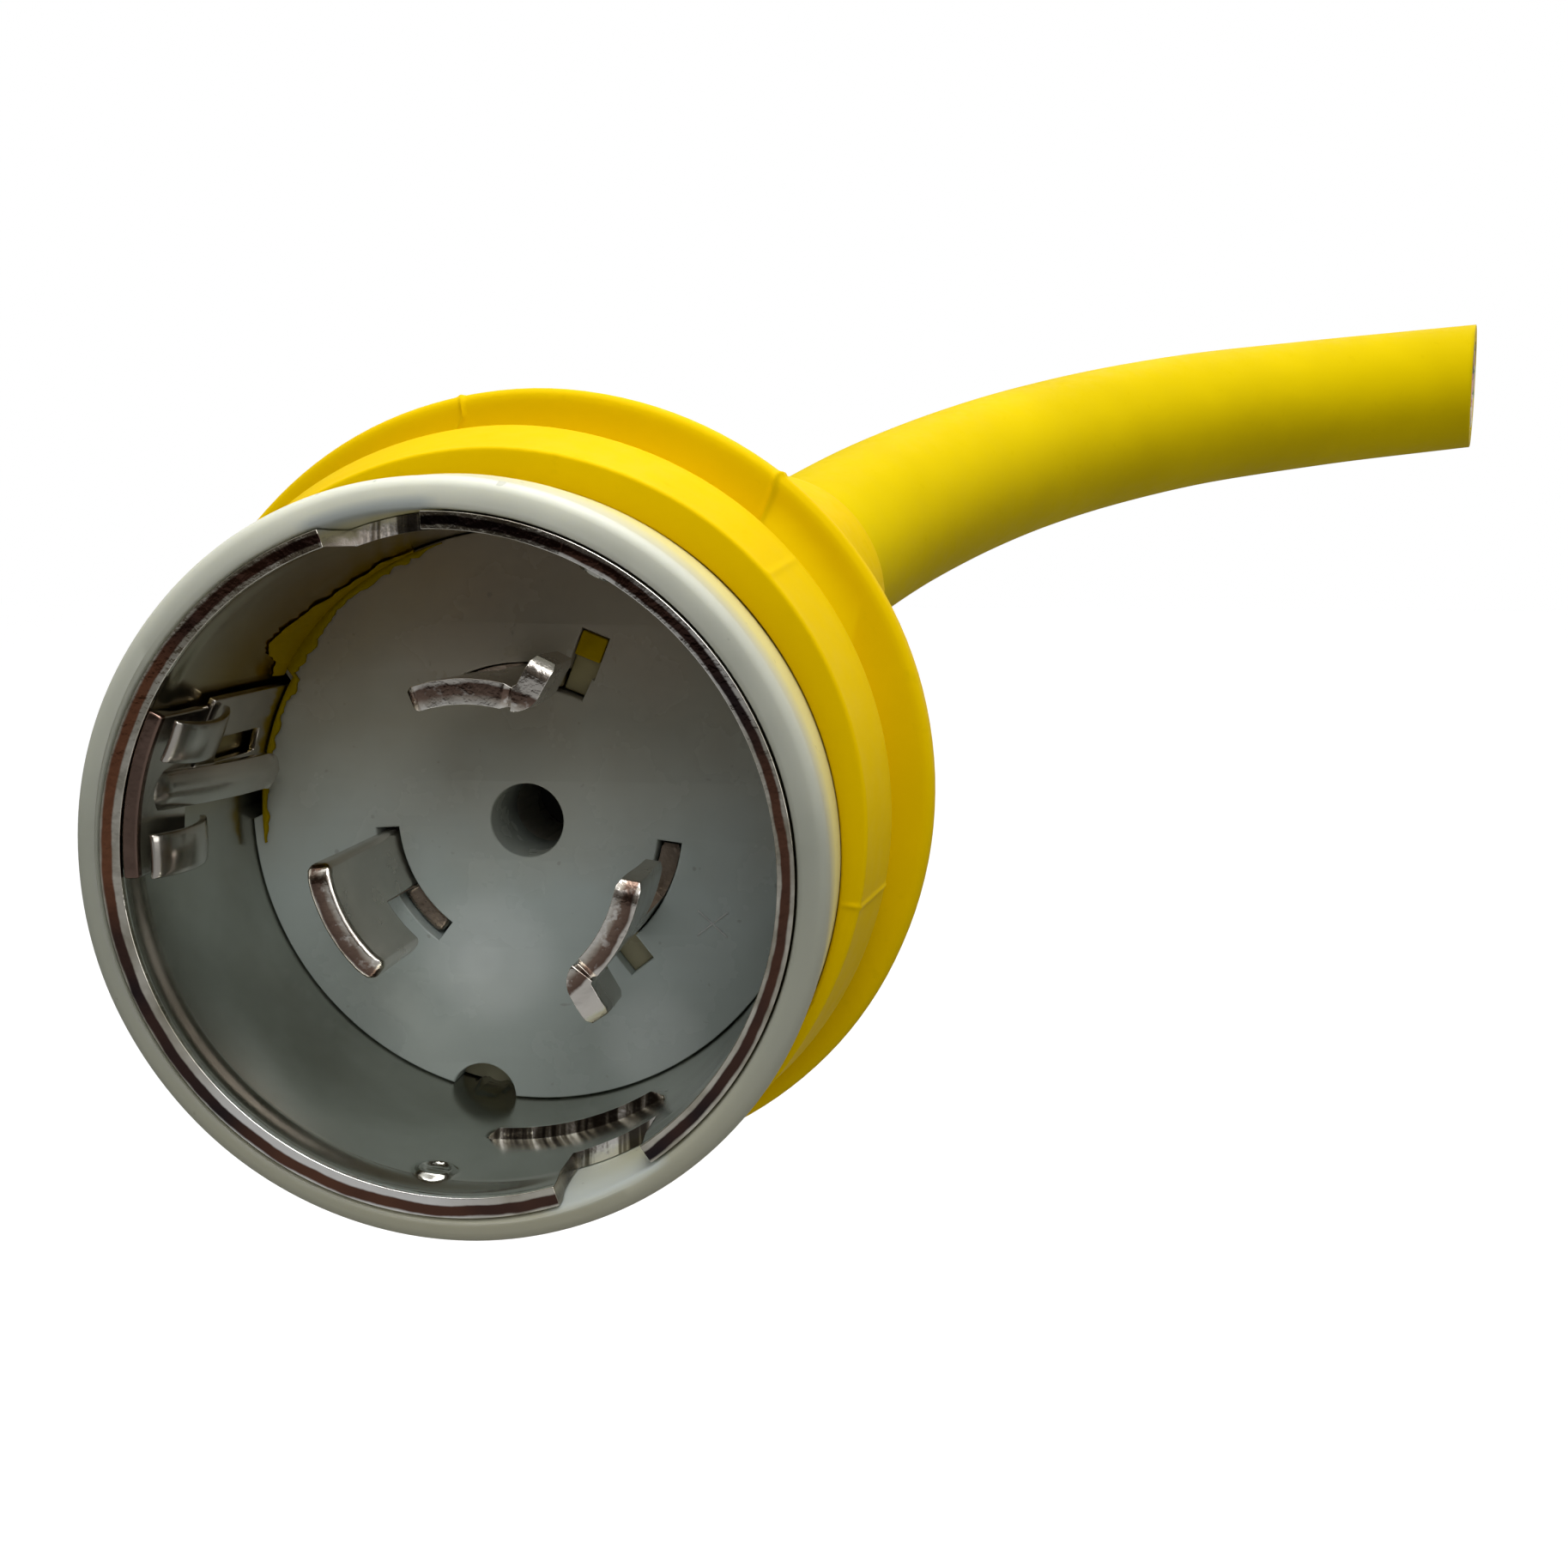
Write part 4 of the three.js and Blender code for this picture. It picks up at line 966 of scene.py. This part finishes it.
def build_body():
    marks = (100.5, 51.0, 49.0, 43.0, 353.0)
    angles = merged(spaced(0, 357.5, 2.5), *[spaced(m - 2.5, m + 2.5, 0.25) for m in marks])
    angles = [a % 360 for a in angles]
    angles = merged([a for a in angles if a < 359.9])
    rows = body_rows()
    hidden_rows = 13
    verts = []
    for number, (kind, s, size) in enumerate(rows):
        for a in angles:
            lift, back = 0.0, 0.0
            if kind == "flange" and s < 21:
                skew = (size - 31.2) * 0.9
                step = smooth(a, 50.1 + skew, 50.6 + skew)
                back += 0.28 * (1 - step) * smooth(a, 5, 40) - 0.16 * mark(a, 50.7 + skew, 0.35)
                back -= 0.22 * mark(a, 100.5, 0.3)
            if kind == "flange" and 21 <= s < 24:
                lift += 0.2 * mark(a, 52.0, 0.5) + 0.16 * mark(a, 100.8, 0.4)
            if kind == "collar" and s > 8.5:
                lift += 0.13 * mark(a, 353.0 + 0.12 * (s - 10), 0.35)
                lift += 0.07 * mark(a, 43.0, 0.6) * (1 - smooth(s, 14, 17))
            if kind == "collar" and s < 8.5:
                back -= 0.10 * mark(a, 353.0, 0.35)
            if s > 24 and kind == "line" and size > 16:
                lift += 0.07 * (mark(a, 0, 0.7) + mark(a, 180, 0.7))
            if number < len(rows) - hidden_rows:
                lift += 0.05 * noise.noise(Vector((math.cos(math.radians(a)) * 3, s * 0.05, math.sin(math.radians(a)) * 3)))
            p = body_point(kind, s, size, a, lift)
            p.y += back
            verts.append(p)
    faces = grid_faces(len(rows), len(angles), closed_rows=True)
    return piece("moulded_grip", verts, faces, VINYL, "plug", ["moulded_body"], sharp=70)


# ---- Torn flash and the plug of vinyl that came through the disc ----
def build_flash():
    angles = spaced_any(112, 150, 0.7)
    middle, normal = [], []
    for a in angles:
        torn = noise.noise(Vector((a * 0.35, 3.1, 0.4)))
        fine = noise.noise(Vector((a * 1.7, 9.1, 2.4)))
        height = (1.6 + 5.0 * math.exp(-((a - 139) / 8) ** 2) + 1.3 * torn + 0.6 * fine) * smooth(a, 112, 118)
        height = max(0.35, height)
        row = []
        for k in range(6):
            t = k / 5
            row.append(polar(24.74 - 0.08 * math.sin(math.pi * t) - 0.12 * fine * t, a, 21.9 - height * t))
        middle.append(row)
        normal.append([polar(1, a)] * 6)
    verts, faces = thick_sheet(middle, normal, lambda i, j: 0.28 - 0.045 * j)
    piece("torn_flash_wall", verts, faces, VINYL_FLASH_PAINTED_SHADE, "plug", ["moulding_flash"], sharp=50)
    middle, normal = [], []
    for a in spaced_any(106, 186, 0.8):
        torn = noise.noise(Vector((a * 0.5, 1.1, 7.4))) * 0.35 + noise.noise(Vector((a * 2.1, 4.1, 7.4))) * 0.2
        reach = (0.50 + torn + 0.55 * math.exp(-((a - 143) / 6) ** 2)) * smooth(a, 106, 112) * (1 - smooth(a, 182, 186))
        top = 24.6 if a < 149 else 23.75
        row = [polar(top - max(0.1, reach) * t, a, 21.75 - 0.12 * math.sin(math.pi * t)) for t in (0, 0.35, 0.7, 1)]
        middle.append(row)
        normal.append([Vector((0, -1, 0))] * 4)
    verts, faces = thick_sheet(middle, normal, 0.3)
    piece("torn_flash_edge", verts, faces, VINYL_EDGE_PAINTED_SHADE, "plug", (), sharp=50)


def pocket_sheet(name, low, high, half, depth, dome, thick, material, start, nodes=()):
    """A small plate that closes a pocket in the disc, from one radius to another."""
    middle = start + 4.5
    out, across = polar(1, middle), polar(1, middle + 90)
    rows, normal = [], []
    for u in spaced(-half, half, half / 4):
        row = []
        for v in spaced(low, high, 0.3):
            rise = dome * math.exp(-((v - (low + high) / 2) / 0.8) ** 2 - (u / 0.6) ** 2)
            row.append(out * v + across * u + Vector((0, depth - rise, 0)))
        rows.append(row)
        normal.append([Vector((0, -1, 0))] * len(row))
    verts, faces = thick_sheet(rows, normal, thick)
    piece(name, verts, faces, material, "plug", nodes, bevel=0.12)


def build_scallop_back():
    """The rear of the bite in the disc's edge, a little way in."""
    angles, rows = spaced(252.0, 267.5, 1.2), (21.8, 22.8, 23.8, 24.75)
    middle = [[polar(r, a, 25.2) for r in rows] for a in angles]
    verts, faces = thick_sheet(middle, [[Vector((0, -1, 0))] * len(rows) for _ in angles], 0.6)
    # Its nylon is the darker copy: painted shade.
    piece("scallop_back", verts, faces, NYLON_PAINTED_SHADE, "plug", (), bevel=0.1)


def build_pocket_plug():
    # The vinyl plug uses the darker copy of the yellow vinyl: painted shade.
    pocket_sheet("pocket_fill", 15.0, 17.15, 1.15, 22.6, 0.4, 0.9, VINYL_FLASH_PAINTED_SHADE, SLOT_STARTS["hot_a"], ["pocket_plug"])
    # The floors use the darker copy of the nylon: painted shade.
    for name, end in POCKET_ENDS.items():
        pocket_sheet("pocket_floor_" + name, 11.75, end, 1.2, 23.7, 0.0, 0.8, NYLON_PAINTED_SHADE, SLOT_STARTS[name])


# ---- Cord skins in lengths along the curved centre line, and the cut end ----
def ring_at(s, r, columns, bulge=None):
    point, along, up, side = station(s)
    out = []
    for k in range(columns):
        a = 2 * math.pi * k / columns
        radius = r + (0.05 * noise.noise(Vector((math.cos(a) * 2.2, s * 0.03, math.sin(a) * 2.2))) if bulge else 0.0)
        out.append(point + side * (radius * math.cos(a)) + up * (radius * math.sin(a)))
    return out


def closed_tube(rings):
    """A solid from rings, with flat ends."""
    columns = len(rings[0])
    verts = [p for ring in rings for p in ring]
    faces = grid_faces(len(rings), columns)
    faces.append(tuple(range(columns)))
    last = (len(rings) - 1) * columns
    faces.append(tuple(reversed(range(last, last + columns))))
    return verts, faces


CUT_NORMAL = Vector((math.cos(math.radians(CUT_TURN)), -math.sin(math.radians(CUT_TURN)), 0))
CUT_POINT = walk(CUT_AT)[0]


def cut_ring(r, columns, centre=(0.0, 0.0)):
    """Ring where a round section of the cord meets the slanted cut."""
    ring = []
    for k in range(columns):
        a = 2 * math.pi * k / columns
        low, high = CUT_AT - 30, CUT_AT + 24
        for _ in range(24):
            mid = (low + high) / 2
            point, _, up, side = station(mid)
            p = point + side * (centre[0] + r * math.cos(a)) + up * (centre[1] + r * math.sin(a))
            low, high = (mid, high) if (p - CUT_POINT).dot(CUT_NORMAL) < 0 else (low, mid)
        ring.append(p)
    return ring


def build_cord():
    columns = 72
    bounds = [120.0] + [FIRST_BEND + BEND_STEP * (k + 0.5) for k in range(CORD_LENGTHS - 1)]
    nodes = [["cord_jacket_root", "cord_jacket_1", "cord_bundle_1"], ["cord_jacket_2", "cord_bundle_2"],
             ["cord_jacket_3", "cord_bundle_3"], ["cord_jacket_4"]]
    for k in range(CORD_LENGTHS):
        start = bounds[k]
        last = k == CORD_LENGTHS - 1
        end = CUT_AT - 24 if last else bounds[k + 1]
        rings = [ring_at(s, CORD_R, columns, bulge=True) for s in spaced(start, end, 1.6)]
        if last:
            tail, face = rings[-1], cut_ring(CORD_R, columns)
            steps = 14
            rings += [[p.lerp(q, (i + 1) / steps) for p, q in zip(tail, face)] for i in range(steps)]
            rings = rings[:-1] + [[p.lerp(q, 0.995) for p, q in zip(tail, face)]]
            rings += [cut_ring(r, columns) for r in (CORD_R - 0.25, CORD_R - 1.5, CORD_R - 3, 10.0, 9.85)]
            rings += [ring_at(s, 9.8, columns) for s in (CUT_AT - 26, CUT_AT - 40)]
        verts, faces = closed_tube(rings)
        skin = piece(f"cord_skin_{k + 1}", verts, faces, VINYL_CORD, None, (), sharp=60)
        hinge = FIRST_BEND + BEND_STEP * k
        reach = (hinge - 3.5, hinge + 11) if k == 0 else (hinge - 13, hinge + 13)
        station(reach[0])[0] * MM + ORIGIN
        station(reach[1])[0] * MM + ORIGIN
        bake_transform(skin)
        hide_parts(*nodes[k])


def build_cut_end():
    for c, name in enumerate(("black", "green", "white", "red")):
        lay = math.radians(LAY_START + 90 * c)
        centre = (LAY_R * math.cos(lay), LAY_R * math.sin(lay))

        def conductor_ring(s, r, count):
            point, _, up, side = station(s)
            out = []
            for k in range(count):
                a = 2 * math.pi * k / count
                out.append(point + side * (centre[0] + r * math.cos(a)) + up * (centre[1] + r * math.sin(a)))
            return out

        inner_face = cut_ring(2.62, 32, centre)
        rings = [conductor_ring(s, CONDUCTOR_R, 32) for s in (CUT_AT - 38, CUT_AT - 30, CUT_AT - 22)]
        rings += [cut_ring(r, 32, centre) for r in (CONDUCTOR_R, CONDUCTOR_R - 0.15, 2.8)] + [inner_face]
        rings += [conductor_ring(s, 2.6, 32) for s in (CUT_AT - 23, CUT_AT - 34)]
        verts, faces = closed_tube(rings)
        piece(f"end_insulation_{name}", verts, faces, INSULATION[name], "cord_end", ["end_" + name],
              sharp=40)
        strands_v, strands_f = [], []
        spots = [(0.0, 0.0)] + [(0.92 * math.cos(k * math.pi / 3), 0.92 * math.sin(k * math.pi / 3)) for k in range(6)]
        spots += [(1.84 * math.cos(k * math.pi / 6 + 0.2), 1.84 * math.sin(k * math.pi / 6 + 0.2)) for k in range(12)]
        for dx, dz in spots:
            spot = (centre[0] + dx, centre[1] + dz)
            face = cut_ring(0.44, 8, spot)
            point, _, up, side = station(CUT_AT - 34)
            root = [point + side * (spot[0] + 0.44 * math.cos(k * math.pi / 4))
                    + up * (spot[1] + 0.44 * math.sin(k * math.pi / 4)) for k in range(8)]
            verts, faces = closed_tube([root, face])
            offset = len(strands_v)
            strands_v += verts
            strands_f += [tuple(i + offset for i in f) for f in faces]
        piece(f"end_strands_{name}", strands_v, strands_f, COPPER, "cord_end", ["end_core_" + name], sharp=40)
    verts, faces = closed_tube([ring_at(CUT_AT - 38, 1.5, 16), ring_at(CUT_AT - 20, 1.5, 16), cut_ring(1.5, 16)])
    piece("end_filler_cord", verts, faces, FILLER, "cord_end", ["end_filler"], sharp=40)


def build_disc_marks():
    """A small cross left on the disc by the mould."""
    centre = polar(18.3, 332)
    for k, tilt in enumerate((38, -42)):
        run = polar(1, tilt)
        across = polar(1, tilt + 90)
        rows = [[centre + run * u + across * v + Vector((0, DISC_FRONT - 0.02, 0)) for v in (-0.08, 0.08)]
                for u in spaced(-1.7, 1.7, 0.4)]
        verts, faces = thick_sheet(rows, [[Vector((0, -1, 0))] * 2 for _ in rows], 0.1)
        piece(f"disc_cross_{k + 1}", verts, faces, NYLON_MARK, "plug", (), bevel=0.03, segments=1)


def dress_hidden_nodes():
    """Better materials for the CAD pieces that stay inside."""
    looks = {"rear_insulator": NYLON_REAR, "inner_premould": PREMOULD}
    for terminal in ("neutral", "hot_a", "hot_b", "ground"):
        looks["crimp_" + terminal] = COPPER
    for colour in INSULATION:
        looks["lead_" + colour] = INSULATION[colour]
        looks["lead_core_" + colour] = COPPER
    for node, material in looks.items():
        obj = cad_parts[node]
        if not obj.material_slots:
            obj.data.materials.append(material)
        for place in obj.material_slots:
            place.material = material


# ---- Studio ----
def area_light(name, place, target, size, power, colour=(1, 1, 1)):
    data = bpy.data.lights.new(name, "AREA")
    data.shape = "RECTANGLE"
    data.size, data.size_y = size
    data.energy = power
    data.color = colour
    light = bpy.data.objects.new(name, data)
    light.location = Vector(place) + ORIGIN
    light.rotation_euler = (Vector(target) - Vector(place)).to_track_quat("-Z", "Y").to_euler()
    bpy.context.scene.collection.objects.link(light)
    return light


def build_world():
    """White to the camera; a soft overhead gradient for diffuse light; a room with dark warm patches for reflections."""
    world = bpy.data.worlds.new("studio")
    bpy.context.scene.world = world
    world.use_nodes = True
    tree = world.node_tree
    tree.nodes.clear()
    out = add_node(tree, "ShaderNodeOutputWorld")
    place = add_node(tree, "ShaderNodeTexCoord")
    split = add_node(tree, "ShaderNodeSeparateXYZ")
    tree.links.new(place.outputs["Generated"], split.inputs[0])
    height = map_range(tree, split.outputs[2], -1, 1, 0, 1)
    sky = ramp(tree, height, [(0.0, (0.10, 0.10, 0.10)), (0.45, (0.26, 0.26, 0.26)), (0.62, (0.60, 0.60, 0.61)),
                              (1.0, (1.0, 1.0, 1.0))])
    room = add_node(tree, "ShaderNodeTexNoise", Scale=3.0, Detail=2.0, Roughness=0.5)
    tree.links.new(place.outputs["Generated"], room.inputs["Vector"])
    patches = ramp(tree, room.outputs["Fac"], [(0.42, (0.35, 0.33, 0.31)), (0.52, (0.8, 0.8, 0.8)), (0.62, (1.4, 1.4, 1.4))])
    slant = maths(tree, "ADD", maths(tree, "MULTIPLY", split.outputs[0], 0.62), maths(tree, "MULTIPLY", split.outputs[2], 0.78))
    windows = ramp(tree, map_range(tree, slant, -1, 1, 0, 1), [
        (0.0, (0.10, 0.095, 0.08)), (0.48, (0.15, 0.14, 0.12)), (0.62, (0.34, 0.34, 0.33)), (0.72, (0.85, 0.86, 0.88)),
        (0.86, (1.0, 1.0, 1.0))])
    front = map_range(tree, split.outputs[1], -0.93, -0.62, 0.10, 1.0)
    reflected = mix_colour(tree, 1.0, patches, windows, "MULTIPLY")
    shade = mix_colour(tree, front, (0.09, 0.06, 0.045), (1.0, 1.0, 1.0))
    reflected = mix_colour(tree, 1.0, reflected, shade, "MULTIPLY")
    path = add_node(tree, "ShaderNodeLightPath")
    shaders = []
    for colour, strength in ((sky, 0.75), (reflected, 1.9), ((1, 1, 1, 1), 1.0)):
        background = add_node(tree, "ShaderNodeBackground", Strength=strength)
        if isinstance(colour, tuple):
            background.inputs["Color"].default_value = colour
        else:
            tree.links.new(colour, background.inputs["Color"])
        shaders.append(background.outputs[0])
    mixed = shaders[0]
    for ray, shader in (("Is Glossy Ray", shaders[1]), ("Is Camera Ray", shaders[2])):
        mix = add_node(tree, "ShaderNodeMixShader")
        tree.links.new(path.outputs[ray], mix.inputs[0])
        tree.links.new(mixed, mix.inputs[1])
        tree.links.new(shader, mix.inputs[2])
        mixed = mix.outputs[0]
    tree.links.new(mixed, out.inputs["Surface"])


def build_floor():
    size, z = 3.0, ORIGIN.z - 0.13
    mesh = bpy.data.meshes.new("floor")
    mesh.from_pydata([(-size, -size, z), (size, -size, z), (size, size, z), (-size, size, z)], [], [(0, 1, 2, 3)])
    floor = bpy.data.objects.new("floor", mesh)
    bpy.context.scene.collection.objects.link(floor)
    material, tree, shader = node_material("pale_floor")
    shader.inputs["Base Color"].default_value = (0.25, 0.25, 0.25, 1)
    shader.inputs["Roughness"].default_value = 0.9
    shader.inputs["Emission Color"].default_value = (1, 1, 1, 1)
    path = add_node(tree, "ShaderNodeLightPath")
    tree.links.new(maths(tree, "MULTIPLY", path.outputs["Is Camera Ray"], 0.8), shader.inputs["Emission Strength"])
    mesh.materials.append(material)


def build_camera():
    data = bpy.data.cameras.new("camera")
    data.sensor_width = 36.0
    data.lens = 36.0 * 2000 / 1827
    data.clip_start, data.clip_end = 0.005, 20
    camera = bpy.data.objects.new("camera", data)
    camera.location = Vector((41.805, -118.997, 25.133)) * MM + ORIGIN
    camera.rotation_euler = Vector((-0.13546, 0.97945, -0.14941)).to_track_quat("-Z", "Y").to_euler()
    bpy.context.scene.collection.objects.link(camera)
    bpy.context.scene.camera = camera


build_barrel()
build_liner()
build_disc()
build_disc_marks()
for name, start in SLOT_STARTS.items():
    build_blade("blade_" + name, start, name != "neutral")
build_ground_contact()
build_body()
build_flash()
build_pocket_plug()
build_scallop_back()
build_cord()
build_cut_end()
dress_hidden_nodes()
build_world()
build_floor()
build_camera()
area_light("top_softbox", (0.10, 0.0, 0.75), (0.02, 0.05, 0), (0.6, 0.6), 6.5)
area_light("front_fill", (0.25, -0.6, 0.5), (0.0, 0.0, 0), (0.35, 0.35), 1.2)
bpy.context.scene.view_settings.view_transform = "Standard"
